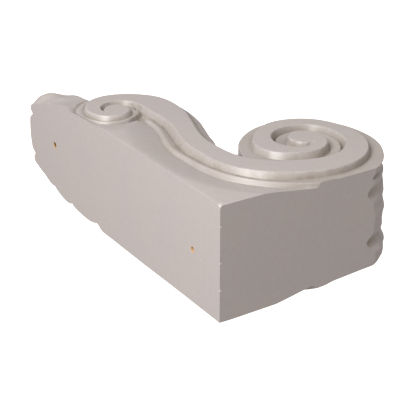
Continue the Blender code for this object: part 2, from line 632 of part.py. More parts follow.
def screw_hole(bm, s, w, radius):
    """Blind hole in the wall face; gives back the ring of vertices at its mouth."""
    r = radius / STOCK_WIDTH
    turn = [2.0 * math.pi * k / HOLE_SIDES for k in range(HOLE_SIDES)]
    mouth, floor = [[bm.verts.new(to_object((s + r * math.cos(a), depth, w + r * math.sin(a)))) for a in turn]
                    for depth in (0.0, HOLE_DEPTH / STOCK_WIDTH)]
    for k in range(HOLE_SIDES):
        j = (k + 1) % HOLE_SIDES
        bm.faces.new((mouth[k], mouth[j], floor[j], floor[k]))
    bm.faces.new(floor)
    return mouth


def block_mesh():
    ring, body, tail = outline()
    front = np.concatenate([thin(ring), thin(body), thin(tail)[1:]])
    flat, half, faces, loop = side_plan(front)
    end = int(np.argmin(np.hypot(flat[:, 0] - TAIL_END, flat[:, 1])))
    at = loop.index(end)
    front_loop = loop[:at + 1]
    back_loop = [k for k in loop[at:] if flat[k, 1] < ON_LINE]
    shelf_loop = [k for k in loop[at:] if flat[k, 0] < ON_LINE] + [loop[0]]
    bm = bmesh.new()
    right = [bm.verts.new(to_object((s, d, w))) for (s, d), w in zip(flat, half)]
    mirrored = np.stack(left_side(flat[:, 0], flat[:, 1], half), 1) * (1.0, 1.0, -1.0)
    left = [bm.verts.new(to_object(p)) for p in mirrored]
    for f in faces:
        bm.faces.new([right[k] for k in f])
        bm.faces.new([left[k] for k in reversed(f)])
    rows = []
    for k, row in zip(front_loop, front_rows(flat[front_loop], half[front_loop])):
        inner = [bm.verts.new(to_object(p)) for p in row[1:-1]]
        rows.append([left[k]] + inner + [right[k]])
    for a, b in zip(rows, rows[1:]):
        for j in range(len(a) - 1):
            bm.faces.new((a[j], a[j + 1], b[j + 1], b[j]))
    shelf = [right[k] for k in shelf_loop[:-1]] + rows[0][::-1] + [left[k] for k in shelf_loop[:-1]][::-1]
    wall = [right[k] for k in back_loop[1:]] + [left[k] for k in back_loop[1:]][::-1] + rows[-1]
    cap(bm, shelf, (0, 1), [])
    cap(bm, wall, (0, 2), [screw_hole(bm, *hole) for hole in HOLES])
    bmesh.ops.triangulate(bm, faces=bm.faces[:])
    bmesh.ops.recalc_face_normals(bm, faces=bm.faces[:])
    mesh = bpy.data.meshes.new("scroll_corbel")
    bm.to_mesh(mesh)
    bm.free()
    return mesh


def finish(mesh):
    """The block as an object with its paint."""
    block = bpy.data.objects.new("scroll_corbel", mesh)
    bpy.context.scene.collection.objects.link(block)
    paint = bpy.data.materials.new("taupe_paint")
    paint.use_nodes = True
    shader = paint.node_tree.nodes["Principled BSDF"]
    shader.inputs["Base Color"].default_value = PAINT_COLOUR + (1.0,)
    shader.inputs["Roughness"].default_value = PAINT_ROUGHNESS
    shader.inputs["Metallic"].default_value = 0.0
    mesh.materials.append(paint)
    mesh.polygons.foreach_set("use_smooth", [True] * len(mesh.polygons))
    mesh.set_sharp_from_angle(angle=SHARP_ANGLE)
    return block


for old in list(bpy.data.objects):
    bpy.data.objects.remove(old, do_unlink=True)

finish(block_mesh())
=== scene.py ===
"""Dressed scroll corbel: one painted block of carved hardwood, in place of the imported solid.

Drawing coordinates (all in stock widths): s runs down the wall from the shelf face,
d runs out from the wall, w runs across the block from its centre plane.
"""
import math

import bmesh
import bpy
import numpy as np
from mathutils import Matrix, Vector
from mathutils.geometry import delaunay_2d_cdt


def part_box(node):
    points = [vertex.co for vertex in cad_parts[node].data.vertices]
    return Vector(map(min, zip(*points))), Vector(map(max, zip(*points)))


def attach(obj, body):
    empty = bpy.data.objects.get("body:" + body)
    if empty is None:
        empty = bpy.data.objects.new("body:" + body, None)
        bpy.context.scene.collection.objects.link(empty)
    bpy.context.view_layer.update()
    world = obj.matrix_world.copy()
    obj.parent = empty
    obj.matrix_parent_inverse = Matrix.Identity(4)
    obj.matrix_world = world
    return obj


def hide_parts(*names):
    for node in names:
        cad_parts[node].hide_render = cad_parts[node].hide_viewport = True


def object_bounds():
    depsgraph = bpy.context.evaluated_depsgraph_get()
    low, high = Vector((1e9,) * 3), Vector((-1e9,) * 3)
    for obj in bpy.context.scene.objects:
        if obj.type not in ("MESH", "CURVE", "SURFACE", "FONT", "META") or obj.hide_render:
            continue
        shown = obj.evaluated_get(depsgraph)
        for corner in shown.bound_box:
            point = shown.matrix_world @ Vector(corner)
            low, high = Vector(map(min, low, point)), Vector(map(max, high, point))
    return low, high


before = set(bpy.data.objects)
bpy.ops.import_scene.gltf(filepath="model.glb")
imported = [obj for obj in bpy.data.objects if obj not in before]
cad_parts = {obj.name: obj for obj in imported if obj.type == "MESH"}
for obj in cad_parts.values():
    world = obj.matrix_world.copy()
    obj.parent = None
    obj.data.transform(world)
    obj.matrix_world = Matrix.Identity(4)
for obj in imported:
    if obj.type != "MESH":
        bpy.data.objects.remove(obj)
CAD_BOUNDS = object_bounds()

# ---------------- driving dimensions
HOLES = ((0.388, -0.025, 0.0027), (2.852, 0.040, 0.0036))  # s, w, radius in metres
HOLE_DEPTH = 0.020
HOLE_SIDES = 28
MOUNT_DROP = 0.5 * (HOLES[0][0] + HOLES[1][0])  # s of the origin
STOCK_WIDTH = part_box("scroll_corbel")[1][2] / MOUNT_DROP  # metres across the block
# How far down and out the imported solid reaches.
FARTHEST = (MOUNT_DROP - CAD_BOUNDS[0][2] / STOCK_WIDTH, -CAD_BOUNDS[0][1] / STOCK_WIDTH)

BIG_EYE = (0.76, 1.38)  # centre of the large volute
SMALL_EYE = (2.27, 0.37)  # centre of the small volute
# Edge radii of the flat S band at each eighth of a turn.
# Large volute: counted from straight back to the wall, turning past the shelf first.
BIG_OUTER = (0.930, 0.782, 0.657, 0.540, 0.470, 0.468, 0.465, 0.440, 0.460, 0.355,
             0.265, 0.190, 0.150, 0.163, 0.170, 0.140, 0.125, 0.120, 0.125)
BIG_INNER = (0.710, 0.520, 0.425, 0.350, 0.310, 0.318, 0.300, 0.290, 0.270, 0.220, 0.130)
BIG_OUTER_TURNS = (18.1, 0.15)  # from the eye to the sweep
BIG_INNER_TURNS = (10.05, 0.20)
# Small volute: counted from straight out, turning past the leaf end first.
SMALL_OUTER = (0.525, 0.450, 0.393, 0.292, 0.228, 0.182, 0.147, 0.127, 0.120, 0.127,
               0.130, 0.113, 0.106)
SMALL_INNER = (0.250, 0.248, 0.204, 0.150, 0.116, 0.110)
SMALL_OUTER_TURNS = (0.30, 12.3)  # from the sweep to the eye
SMALL_INNER_TURNS = (0.25, 4.35)

SWEEP_BACK = (0.445, 0.170, 1.08, 0.77)  # d at the volute, rise, start, length of the rise
SWEEP_FRONT = (0.642, 0.260, 1.08, 1.02)
SWEEP_BACK_SPAN = (0.95, 2.10)  # s where each sweep begins and ends
SWEEP_FRONT_SPAN = (0.98, 2.02)

TOP_LEVEL = 0.506  # half width over the flat band
LEDGE_LEVEL = 0.451  # half width over the ledge that follows the band
RING_LEVEL = 0.470  # the same ledge round the small volute
WALL_RUN = 0.026  # plan run of the inner groove walls
SWEEP_PROFILE = (0.036, 0.106, 0.126)  # chamfer foot, ledge edge, outer foot
BIG_PROFILE = (0.016, 0.125, 0.133)
PROFILE_TURN = (1.25, 0.60)  # eighth of a turn where the second takes over, over
CROTCH_LEDGE = (7.6, 0.8, 0.070)  # where the ledge widens under the volute, over, by
CROTCH = (0.83, 0.772)  # s, d where the ledge stops and the hollow under the volute begins
CROTCH_TURN = 8.0  # and how far round the volute that is
FRONT_TURN = 1.5  # the outline of the front follows the ledge from this turn
GROOVE_STOP = (0.05, 0.45)  # the inner groove ends this far above the crotch, and behind the eye
RING_START = 0.02  # the ring's ledge begins this far past the small eye
RING_JOIN = 0.20  # run over which the outline moves out to it
RING_EYE = 0.135  # its outer wall stays this far from the eye
# Where else its width changes, turning with the volute: place, reach, gain.
LEDGE_WIDTHS = ((6.2, 1.5, -0.030), (2.25, 0.75, 0.018), (1.20, 0.45, 0.008),
                (-0.75, 0.45, 0.014), (-1.40, 0.30, -0.024))
LEDGE_LIFT = (0.15, 0.70, 0.010)  # the ledge stands higher under the volute: place, reach, by
LEDGE_BEAD = (0.013, 1.40, 0.25)  # rise of its outer edge, as far as the shelf, fading over
RING_PROFILE = (0.020, 0.058, 0.080)
RING_WIDTHS = ((3.2, 1.1, 0.026), (7.3, 0.9, 0.026))  # where it is wider: place, reach, gain
WEB_LEVEL = ((0.0, 1.2), (0.498, 0.512))  # half width of the plain side from the shelf down
DISH_DEPTH = 0.078  # hollow of the side web beside the scroll
DISH_REACH = 0.31
DISH_POWER = 1.4
LEAF_DISH_DEPTH = 0.070  # the same beside the small volute
LEAF_DISH_REACH = 0.17
LEAF_DISH_FROM = (1.75, 0.35)  # s where the one passes into the other, over
DISH_END = (2.40, 0.26, 0.80)  # s where the hollow dies out, over, by this share
WALL_RIM = (0.11, 0.80, 2.04, 0.14)  # d over which it dies out at the wall, share, from s, over

TAIL_START = 2.66  # leaf end below the small volute
TAIL_END = 3.365
TAIL_THICK = 0.325
TAIL_POWER = 1.70
LEAF_HALF = 0.512  # half width over the leaf margin at the wall face
LEAF_TAPER = (2.45, 3.37, 0.215, 1.6)  # the margins draw in: from, to, by, how late
TAPER_LIMIT = 1.1  # over no more than this many times that run
LEAF_FLARE = (2.74, 0.25, 0.16, 0.038)  # the margins lean out: from s, over, over d, by
TIP_FLARE = (3.02, 0.25, 0.09, 0.050)  # and again at the leaf end
LEAF_LEAD = 0.12  # run of the first notch into the plain side
# Notches of the leaf's margins along the wall face: places and depths, each side cut by hand.
RIGHT_NOTCHES = ((2.05, 2.48, 2.95, 3.16, 3.37), (0.012, 0.024, 0.012, 0.010, 0.0))
LEFT_NOTCHES = ((2.05, 2.55, 2.92, 3.13, 3.37), (0.040, 0.046, 0.028, 0.014, 0.0))
NOTCH_FADE = 0.14  # d over which the notches run out
TIP_REACH = (0.055, 0.70)  # centre lobe of the leaf tip past its corners, half its width
TIP_SIDE = (0.88, 0.14, 0.012, 0.004)  # side lobe: place across, reach, length, set back
TIP_FROM = 2.90  # the lobes grow from here
TIP_NOTCH = (0.68, 0.15, 0.030)  # notch beside the centre lobe: place across, reach, depth

SHARP_ANGLE = math.radians(26.0)

FINE_STEP = 0.006  # sampling of the guide curves
TURN_SAMPLES = 40  # points for each eighth of a turn
JOIN_SAMPLES = 24  # across a gap
SWEEP_SAMPLES = 120  # in a sweep
TAIL_SAMPLES = 160  # in the tail
BATCH = 400  # points tested at a time
MAX_TURN = math.radians(3.0)
MAX_LENGTH = 0.018
MIN_LENGTH = 0.008
LAST_SHARE = 0.6  # a last piece shorter than this share of it is joined to the one before
ON_LINE = 1e-4  # points this close to an edge lie on it
EDGE_GAP = 0.0035  # clear distance of a carving line from the outline
LINE_GAP = 0.0030  # and from the lines already drawn
LINE_LEAST = 6  # points in the shortest line drawn
PLAN_NEAR = 1e-6  # points this close are one, on the plan and on the flat caps
CAP_NEAR = 1e-9
EDGE_ROWS = (0.0, -0.006, 0.005, -0.014)  # lines beside each edge of the band
FOOT_ROWS = ((0.0, 0.006, -0.006, 0.016), (0.0, -0.006, 0.006, -0.016), (0.0, -0.006, 0.006, 0.016))
FOOT_TURNS = (18.2, 8.9, 1.7)  # how far round the volute each of these lines is drawn
RING_CLEAR = (0.0, 0.12, RING_EYE)  # and how near the small eye
WALL_ROWS = (WALL_RUN, WALL_RUN - 0.006, WALL_RUN + 0.006, WALL_RUN + 0.012, WALL_RUN + 0.020)
SOFT_REACH = 0.0045  # rounding of the edges
SOFT_SAMPLES = 6
FRONT_DROP = 0.0025  # the edge of the front is rubbed down by this
RIPPLE = 0.00035  # unevenness of the flat faces, and its waves
RIPPLE_WAVES = ((9.1, 5.3, 1.0), (-6.1, 14.7, 2.2), (21.0, 17.0, 0.0))
CREVICE = (0.006, 0.014, -0.90, 0.95)  # cut at the chamfer foot: everywhere, more at this turn, over
RING_CREVICE = 0.010
RING_DRESS = (0.0035, 0.0, -0.004)  # the ring's chamfer is flatter and its outer wall steeper
CREVICE_RUN = 0.034
BEAD_WIDTH = 0.044  # bead along the ledge's outer edge
BEAD_RISE = 0.018
GROOVE_FROM = 8.3  # the groove between the turns of the volute, from this turn
GROOVE_CUT = (0.020, 0.012, 0.016, 0.24, 0.016)  # cut at its wall, dip, rise, reach, width of the cut
GROOVE_LEAST = 0.02  # least width it is taken to have
INNER_CHAMFER = (9.0, 1.7, 0.020)  # the inner turn's chamfer is wider: place, reach, gain
JUNCTION = (2.10, 0.53, 0.13, 0.045)  # pocket where sweep and ring meet: s, d, reach, depth
PIT = (2.055, 0.455, 0.085, 0.045)  # hollow in the web between their outer walls, the same
POCKET_EDGE = 0.02  # run of the pocket's own edge
CHAMFER_END = 0.18  # run over which the chamfer passes into the groove's wall
CHISEL = (0.083, 0.17, 0.0008, 0.31)  # chisel cuts along the chamfer: length, variation, depth, swell
CHISEL_WANDER = 2.9  # how uneven their spacing is
CHISEL_SWELL = (0.6, 0.4)  # and their depth: mean, swing
GLAZE_SHADE_REACH = 0.022  # glaze and painted shade lie this far from the foot of a cut
GLAZE_SHADE_LEDGE = 0.35  # how much lies on the ledge
GLAZE_SHADE_FOOT = 0.6  # and at its outer foot
GLAZE_SHADE_WALL = 1.6  # how much wider it lies in the groove
FRONT_GLAZE_SHADE = 60.0  # glaze and painted shade in the cuts of the leaf, per stock width of depth
RIB = (0.002, 0.06, 0.012, 0.095, 0.045)  # rib height, half width, side groove depth, place, reach
VEIN = (0.007, 0.11, 0.52, 0.34, 0.010)  # vein depth, reach, place across, spread, crease depth
MARGIN = (0.83, 0.075, 0.020, 0.030)  # leaf edge: place, lobes, drop, over
MARGIN_END = (0.965, 0.03)  # where its drop ends, over
LEAF_QUIET = (0.10, 0.20)  # run from the shelf edge where rib, veins and margin start, over
LEAF_FADE = (0.60, 0.10)  # share of the upper leaf where they end, over
LOWER_QUIET = (0.12, 0.10)  # plain run at the top and at the end of the lower leaf
FILL_PITCH = 0.020  # loose points between the carving lines
FINE_PITCH = 0.0065  # and round the junction
FINE_SPOT = (2.11, 0.50, 0.19)  # s, d, reach
FILL_FROM = 0.05
FILL_TO = 2.0  # past the block's depth
FILL_CLEAR = 0.45  # share of the pitch kept clear of those lines
SHELF_STEPS = 80  # border points along the shelf edge and the wall edge
WALL_STEPS = 170
ACROSS_STEPS = 40  # columns on each side of the leaf's centre line
MEAN_REACH = 5  # columns on each side that the mean height is taken over

UPPER_PITCH = 0.40  # lobe spacing of the leaf over the large volute
UPPER_SLANT = 0.30  # the creases run this far back at the margins
UPPER_CREASE = (0.56, 0.34, 0.026)  # creases between lobes: place across, reach, depth
UPPER_CURL = (0.60, 0.10, 0.62, 0.060)  # turned-over tip: share of the run, reach, width, swell
UPPER_END = (0.62, 0.14)  # share of the run where the leaf ends, over
SCOOP = (0.50, 0.25, 0.15, 0.078, 1.5)  # scoops at the shelf edge: across, reach, run, depth, form
EDGE_TURN = 0.10  # within this of shelf or wall the relief moves along that face
# Its relief across: places, then the heights of its right and of its left half, cut by hand.
UPPER_ACROSS = ((0.0, 0.11, 0.24, 0.34, 0.48, 0.60, 0.72, 0.80, 0.90, 1.0),
                (0.030, 0.022, 0.004, 0.018, 0.010, 0.000, 0.008, -0.030, -0.004, 0.0),
                (0.030, 0.022, 0.006, 0.002, -0.014, 0.000, 0.026, 0.016, 0.020, 0.0))
# The left side stands a little prouder under the shelf.
WEB_UNEVEN = (0.75, 1.05, 0.034, 0.90)  # left web: d, reach, gain, fades out down to s
LEFT_LEVEL = 0.510  # the left side's greatest half width there
FRONT_UNEVEN = (1.20, 0.40, 0.050, 0.65)  # left front corner: from d, over, gain, fades out by s
LEFT_SPREAD = 0.5  # share of the half width over which the left side takes over
LOWER_PITCH = 0.36  # the leaf from the waist to the tip
LOWER_SLANT = 0.34
LOWER_CREASE = (0.56, 0.32, 0.030, 0.08)  # place across, reach, depth, full where this thick
LOWER_HEIGHT = ((0.0, 0.05, 0.17, 0.32, 0.42, 0.60, 0.75, 0.90, 1.0),
                (0.014, 0.080, 0.142, 0.136, 0.106, 0.080, 0.126, 0.116, 0.0))
LOWER_ACROSS = ((0.0, 0.11, 0.24, 0.34, 0.60, 0.78, 0.86, 0.94, 1.0),
                (1.0, 0.86, 0.66, 0.80, 1.0, 0.95, 0.78, 0.45, 0.0))


# ---------------- curve helpers
def eased(values, x):
    """Catmull-Rom value through evenly spaced values."""
    x = np.asarray(x, float)
    v = np.asarray(values, float)
    i = np.clip(np.floor(x).astype(int), 0, len(v) - 2)
    t = x - i
    a = v[np.clip(i - 1, 0, len(v) - 1)]
    b = v[i]
    c = v[i + 1]
    d = v[np.clip(i + 2, 0, len(v) - 1)]
    return b + 0.5 * t * (c - a + t * (2 * a - 5 * b + 4 * c - d + t * (3 * (b - c) + d - a)))


def clipped(x):
    """The same kept between zero and one."""
    return np.clip(x, 0.0, 1.0)


def smooth(x):
    x = clipped(x)
    return x * x * (3.0 - 2.0 * x)


def bump(x):
    """One for x = 0, falling smoothly to zero at x = -1 and 1."""
    return np.where(np.abs(x) < 1.0, 0.5 + 0.5 * np.cos(math.pi * np.clip(x, -1.0, 1.0)), 0.0)


def arch(x):
    """Half a wave between zero and one, rounded at the top and steep at both ends."""
    return np.sqrt(clipped(np.sin(math.pi * x)))


def ramp(x, start, over):
    """Zero up to start, rising smoothly to one at start + over."""
    return smooth((x - start) / over)


def hill(x, place, reach):
    """One at place, falling smoothly to zero at that reach from it."""
    return bump((x - place) / reach)


def run_along(points):
    """Distance along a curve at each of its points."""
    return np.concatenate([[0.0], np.cumsum(np.linalg.norm(np.diff(points, axis=0), axis=1))])


def even(points):
    """The same curve with evenly spaced points."""
    run = run_along(points)
    n = max(2, int(round(run[-1] / FINE_STEP)) + 1)
    at = np.linspace(0.0, run[-1], n)
    return np.stack([np.interp(at, run, points[:, k]) for k in range(2)], 1)


def join(p0, t0, p1, t1):
    """Cubic from p0 to p1 leaving along t0 and arriving along t1."""
    u = np.linspace(0.0, 1.0, JOIN_SAMPLES)[:, None]
    size = np.linalg.norm(p1 - p0)
    t0 = t0 / np.linalg.norm(t0) * size
    t1 = t1 / np.linalg.norm(t1) * size
    return ((2 * u**3 - 3 * u**2 + 1) * p0 + (u**3 - 2 * u**2 + u) * t0
            + (3 * u**2 - 2 * u**3) * p1 + (u**3 - u**2) * t1)


def volute(eye, way, radii, start, end):
    """Spiral of these radii round an eye; way is -1 for the large volute and 1 for the small one."""
    turn = np.linspace(start, end, int(abs(end - start) * TURN_SAMPLES) + 2)
    r = eased(radii, turn)
    a = turn * math.pi / 4.0
    return np.stack([eye[0] + way * r * np.sin(a), eye[1] + way * r * np.cos(a)], 1)


def sweep(rule, s0, s1):
    level, rise, start, length = rule
    s = np.linspace(s0, s1, SWEEP_SAMPLES)
    return np.stack([s, level + rise * ramp(s, start, length)], 1)


def chain(first, second):
    """Two curves with a smooth cubic across the gap between them."""
    return np.concatenate([first, join(first[-1], first[-1] - first[-2], second[0],
                                       second[1] - second[0])[1:-1], second])


# ---------------- the flat S band
def band_edges():
    """Back edge and front edge of the flat band, both from the large eye to the small eye."""
    out_big = volute(BIG_EYE, -1.0, BIG_OUTER, *BIG_OUTER_TURNS)
    back_sweep = sweep(SWEEP_BACK, *SWEEP_BACK_SPAN)
    in_small = volute(SMALL_EYE, 1.0, SMALL_INNER, *SMALL_INNER_TURNS)
    back = chain(chain(out_big, back_sweep), in_small)
    in_big = volute(BIG_EYE, -1.0, BIG_INNER, *BIG_INNER_TURNS)
    front_sweep = sweep(SWEEP_FRONT, *SWEEP_FRONT_SPAN)
    out_small = volute(SMALL_EYE, 1.0, SMALL_OUTER, *SMALL_OUTER_TURNS)
    front = chain(chain(in_big, front_sweep), out_small)
    return even(back), even(front)


def normals(points, side):
    t = np.gradient(points, axis=0)
    t /= np.linalg.norm(t, axis=1)[:, None]
    return side * np.stack([-t[:, 1], t[:, 0]], 1)


def inside(points, polygon):
    """Even-odd test of many points against one closed polygon."""
    result = np.zeros(len(points), bool)
    a = polygon
    b = np.roll(polygon, -1, axis=0)
    for k in range(0, len(points), BATCH):
        p = points[k:k + BATCH]
        x = p[:, 0][:, None]
        y = p[:, 1][:, None]
        crosses = (a[:, 1] > y) != (b[:, 1] > y)
        span = np.where(b[:, 1] == a[:, 1], 1.0, b[:, 1] - a[:, 1])
        at = a[:, 0] + (y - a[:, 1]) / span * (b[:, 0] - a[:, 0])
        result[k:k + BATCH] = (np.sum(crosses & (x < at), axis=1) % 2) == 1
    return result


def nearest(points, curve):
    """Distance to a curve given by its points and the index of the closest one."""
    distance = np.zeros(len(points))
    index = np.zeros(len(points), int)
    for k in range(0, len(points), BATCH):
        delta = points[k:k + BATCH, None, :] - curve[None, :, :]
        square = np.einsum("ijk,ijk->ij", delta, delta)
        index[k:k + BATCH] = np.argmin(square, axis=1)
        distance[k:k + BATCH] = np.sqrt(np.min(square, axis=1))
    return distance, index


BACK_EDGE, FRONT_EDGE = band_edges()
BAND = np.concatenate([BACK_EDGE, FRONT_EDGE[::-1]])
BACK_NORMAL = normals(BACK_EDGE, -1.0)
FRONT_NORMAL = normals(FRONT_EDGE, 1.0)
BACK_TURN = np.unwrap(np.arctan2(BIG_EYE[0] - BACK_EDGE[:, 0], BIG_EYE[1] - BACK_EDGE[:, 1]))
BACK_TURN = BIG_OUTER_TURNS[0] + (BACK_TURN - BACK_TURN[0]) / (math.pi / 4.0)
RING_FROM = int(np.argmax(FRONT_EDGE[:, 0] > SMALL_EYE[0] + RING_START))
FRONT_GROOVE_TO = int(np.flatnonzero((FRONT_EDGE[:, 0] < CROTCH[0] - GROOVE_STOP[0])
                                     & (FRONT_EDGE[:, 1] < BIG_EYE[1] - GROOVE_STOP[1]))[-1])
SMALL_FROM = int(np.argmax(BACK_EDGE[:, 0] > SMALL_EYE[0]))
LEDGE_EDGE = BACK_EDGE[:SMALL_FROM]
RING_EDGE = FRONT_EDGE[RING_FROM:]
GROOVE_EDGE = np.concatenate([FRONT_EDGE[:FRONT_GROOVE_TO], BACK_EDGE[SMALL_FROM:]])
RING_TURN = np.unwrap(np.arctan2(RING_EDGE[:, 0] - SMALL_EYE[0], RING_EDGE[:, 1] - SMALL_EYE[1]))
RING_TURN = RING_TURN / (math.pi / 4.0)


def back_profiles():
    """Chamfer foot, ledge edge and outer foot offsets for every point of the back edge."""
    near = smooth((PROFILE_TURN[0] - BACK_TURN) / PROFILE_TURN[1])
    profile = np.outer(1 - near, BIG_PROFILE) + np.outer(near, SWEEP_PROFILE)
    start, over, gain = CROTCH_LEDGE
    wider = gain * ramp(BACK_TURN, start, over)
    for where, reach, gain in LEDGE_WIDTHS:
        wider += gain * hill(BACK_TURN, where, reach)
    profile[:, 1:] += wider[:, None]
    return profile


def ring_profiles():
    """The same offsets for every point of the small volute's outer edge."""
    profile = np.repeat(np.array([RING_PROFILE]), len(RING_EDGE), axis=0)
    for where, reach, gain in RING_WIDTHS:
        profile[:, 1:] += gain * hill(RING_TURN, where, reach)[:, None]
    return profile


RING_BANDS = ring_profiles() + RING_DRESS
BACK_PROFILE = back_profiles()
BACK_PROFILE[:, 0] += INNER_CHAMFER[2] * hill(BACK_TURN, *INNER_CHAMFER[:2])
BACK_LEDGE = LEDGE_LEVEL + LEDGE_LIFT[2] * hill(BACK_TURN, *LEDGE_LIFT[:2])
BACK_BEAD = LEDGE_BEAD[0] * (1.0 - ramp(BACK_TURN, *LEDGE_BEAD[1:]))
BACK_CREVICE = CREVICE[0] + CREVICE[1] * hill(BACK_TURN, *CREVICE[2:])
ENDING = smooth(1.0 - (SMALL_FROM - np.arange(len(BACK_EDGE))) * FINE_STEP / CHAMFER_END)
BACK_PROFILE[:, 0] += (WALL_RUN - BACK_PROFILE[:, 0]) * ENDING
BACK_CREVICE += CREVICE[1] * ENDING


# ---------------- heights of the side face
def margin(s):
    """Half width over the side margins, notches left out."""
    start, end, loss, power = LEAF_TAPER
    half = LEAF_HALF - loss * np.clip((s - start) / (end - start), 0.0, TAPER_LIMIT) ** power
    return np.where(s < RIGHT_NOTCHES[0][0], np.interp(s, *WEB_LEVEL), half)


def notched(s, d, notches):
    """Depth of the notches between the lobes of a side margin."""
    places, depths = notches
    cut = depths[0] * smooth((s - places[0]) / LEAF_LEAD + 1.0) * (s < places[0])
    for a, b, first, last in zip(places, places[1:], depths, depths[1:]):
        x = clipped((s - a) / (b - a))
        depth = first * (1 - x) + last * x
        cut = np.where((s >= a) & (s <= b), depth * (1.0 - arch(x)), cut)
    return cut * (1.0 - smooth(d / NOTCH_FADE))


def ground(s, d, q):
    """Level of the side face away from the scroll, q past the outer foot of its ledge."""
    low = ramp(s, *LEAF_DISH_FROM)
    depth = DISH_DEPTH * (1 - low) + LEAF_DISH_DEPTH * low
    reach = DISH_REACH * (1 - low) + LEAF_DISH_REACH * low
    start, over, share = DISH_END
    fade = 1.0 - share * ramp(s, start, over)
    rim, share, start, over = WALL_RIM
    fade = fade * (1.0 - share * ramp(s, start, over) * (1.0 - smooth(d / rim)))
    level = margin(s) - notched(s, d, RIGHT_NOTCHES)
    for start, over, rise, gain in (LEAF_FLARE, TIP_FLARE):
        level = level + gain * ramp(s, start, over) * smooth(d / rise)
    return level - fade * depth * clipped(1.0 - q / reach) ** DISH_POWER


def stepped(n, profile, ledge, bead, base, run, crevice):
    """Chamfer, ledge and outer wall at distance n outside a band edge, run along it."""
    foot, edge, outer = profile[:, 0], profile[:, 1], profile[:, 2]
    down = clipped(n / foot)
    length, variation, cut, swell = CHISEL
    cuts = np.sin(math.tau * run / length + CHISEL_WANDER * np.sin(run / variation))
    cuts = cuts * (CHISEL_SWELL[0] + CHISEL_SWELL[1] * np.sin(run / swell))
    level = TOP_LEVEL + (ledge - crevice - TOP_LEVEL) * down + cut * cuts * np.sin(math.pi * down)
    rise = clipped((n - foot) / CREVICE_RUN)
    raised = bead * smooth((n - edge + BEAD_WIDTH) / BEAD_RISE)
    level = np.where(n > foot, ledge - crevice * (1.0 - rise) ** 2 + raised, level)
    past = clipped((n - edge) / (outer - edge))
    top = ledge + bead
    level = np.where(n > edge, top + (base - top) * past, level)
    return np.where(n > outer, base, level)


def near_spot(points, spot):
    """One at a spot given by s, d and reach, falling to zero that far from it."""
    return bump(np.hypot(points[:, 0] - spot[0], points[:, 1] - spot[1]) / spot[2])


def distances(points):
    """Distance to the edges of ledge and ring, each with the closest index, and to the groove's."""
    groove, _ = nearest(points, GROOVE_EDGE)
    return (*nearest(points, LEDGE_EDGE), *nearest(points, RING_EDGE), groove)


def crisp_half_width(points):
    """Half width of the block over each point of the side face, edges unrounded."""
    n_back, i, n_ring, k, n_wall = distances(points)
    profile = BACK_PROFILE[i]
    ring = RING_BANDS[k]
    past = np.clip(np.minimum(n_back - profile[:, 2], n_ring - ring[:, 2]), 0.0, None)
    base = ground(points[:, 0], points[:, 1], past) - near_spot(points, PIT) * PIT[3]
    run = i * FINE_STEP
    beside = stepped(n_back, profile, BACK_LEDGE[i], BACK_BEAD[i], base, run, BACK_CREVICE[i])
    around = stepped(n_ring, ring, RING_LEVEL, 0.0, base, k * FINE_STEP, RING_CREVICE)
    level = np.where(n_ring > ring[:, 2], beside, np.maximum(beside, around))
    level = np.where(n_back > profile[:, 2], around, level)
    deep, dip, rise, reach, width = GROOVE_CUT
    wall = TOP_LEVEL + (LEDGE_LEVEL - deep - TOP_LEVEL) * clipped(n_wall / WALL_RUN)
    along = smooth(BACK_TURN[i] - GROOVE_FROM) * (n_wall < reach)
    past = n_back - profile[:, 0]
    across = clipped(past / np.maximum(past + n_wall - WALL_RUN, GROOVE_LEAST))
    ridge = level + along * (rise * across - dip * (1.0 - across)) * (n_back > profile[:, 0])
    cut = ramp(n_wall, WALL_RUN, width)
    floor = LEDGE_LEVEL - deep + (ridge - LEDGE_LEVEL + deep) * cut
    level = np.where(along > 0.0, ridge * (1.0 - along) + np.minimum(ridge, floor) * along, level)
    level = np.maximum(level, np.where(n_wall < WALL_RUN, wall, 0.0))
    pocket = JUNCTION[3] * near_spot(points, JUNCTION) * ramp(n_back, profile[:, 0], POCKET_EDGE)
    level = level - pocket * ramp(n_ring, ring[:, 1], POCKET_EDGE)
    on_edge = nearest(points, BAND)[0] < ON_LINE
    return np.where(inside(points, BAND) | on_edge, TOP_LEVEL, level)


def half_width(points, border):
    """The same with every edge rounded by the paint and the sanding; border is the outline."""
    middle = crisp_half_width(points)
    total = middle
    for k in range(SOFT_SAMPLES):
        a = math.tau * k / SOFT_SAMPLES
        beside = points + (SOFT_REACH * math.cos(a), SOFT_REACH * math.sin(a))
        total = total + np.where(inside(beside, border), crisp_half_width(beside), middle)
    level = total / (SOFT_SAMPLES + 1)
    s, d = points[:, 0], points[:, 1]
    ripple = sum(np.sin(a * s + b * d + c) for a, b, c in RIPPLE_WAVES)
    return np.minimum(level + RIPPLE * ripple, LEAF_HALF)


def glaze_and_shade(points):
    """How much darker glaze and painted shade lie at each point of the side face, 0 to 1: in the cuts,
    along the groove, in the junction pocket and in the pit.
    """
    n_back, i, n_ring, k, n_wall = distances(points)
    profile = BACK_PROFILE[i]
    ring = RING_BANDS[k]
    cuts = (hill(n_back, profile[:, 0], GLAZE_SHADE_REACH), GLAZE_SHADE_LEDGE * (n_back < profile[:, 2]),
            GLAZE_SHADE_FOOT * hill(n_back, profile[:, 2], GLAZE_SHADE_REACH),
            hill(n_ring, ring[:, 0], GLAZE_SHADE_REACH), hill(n_ring, ring[:, 2], GLAZE_SHADE_REACH),
            hill(n_wall, WALL_RUN, GLAZE_SHADE_WALL * GLAZE_SHADE_REACH),
            near_spot(points, JUNCTION), near_spot(points, PIT))
    return np.where(inside(points, BAND), 0.0, np.max(cuts, axis=0))


# ---------------- outline of the side face
def tail_depth(s):
    u = clipped((np.asarray(s, float) - TAIL_START) / (TAIL_END - TAIL_START))
    return TAIL_THICK * (1.0 - u ** TAIL_POWER) ** (1.0 / TAIL_POWER)


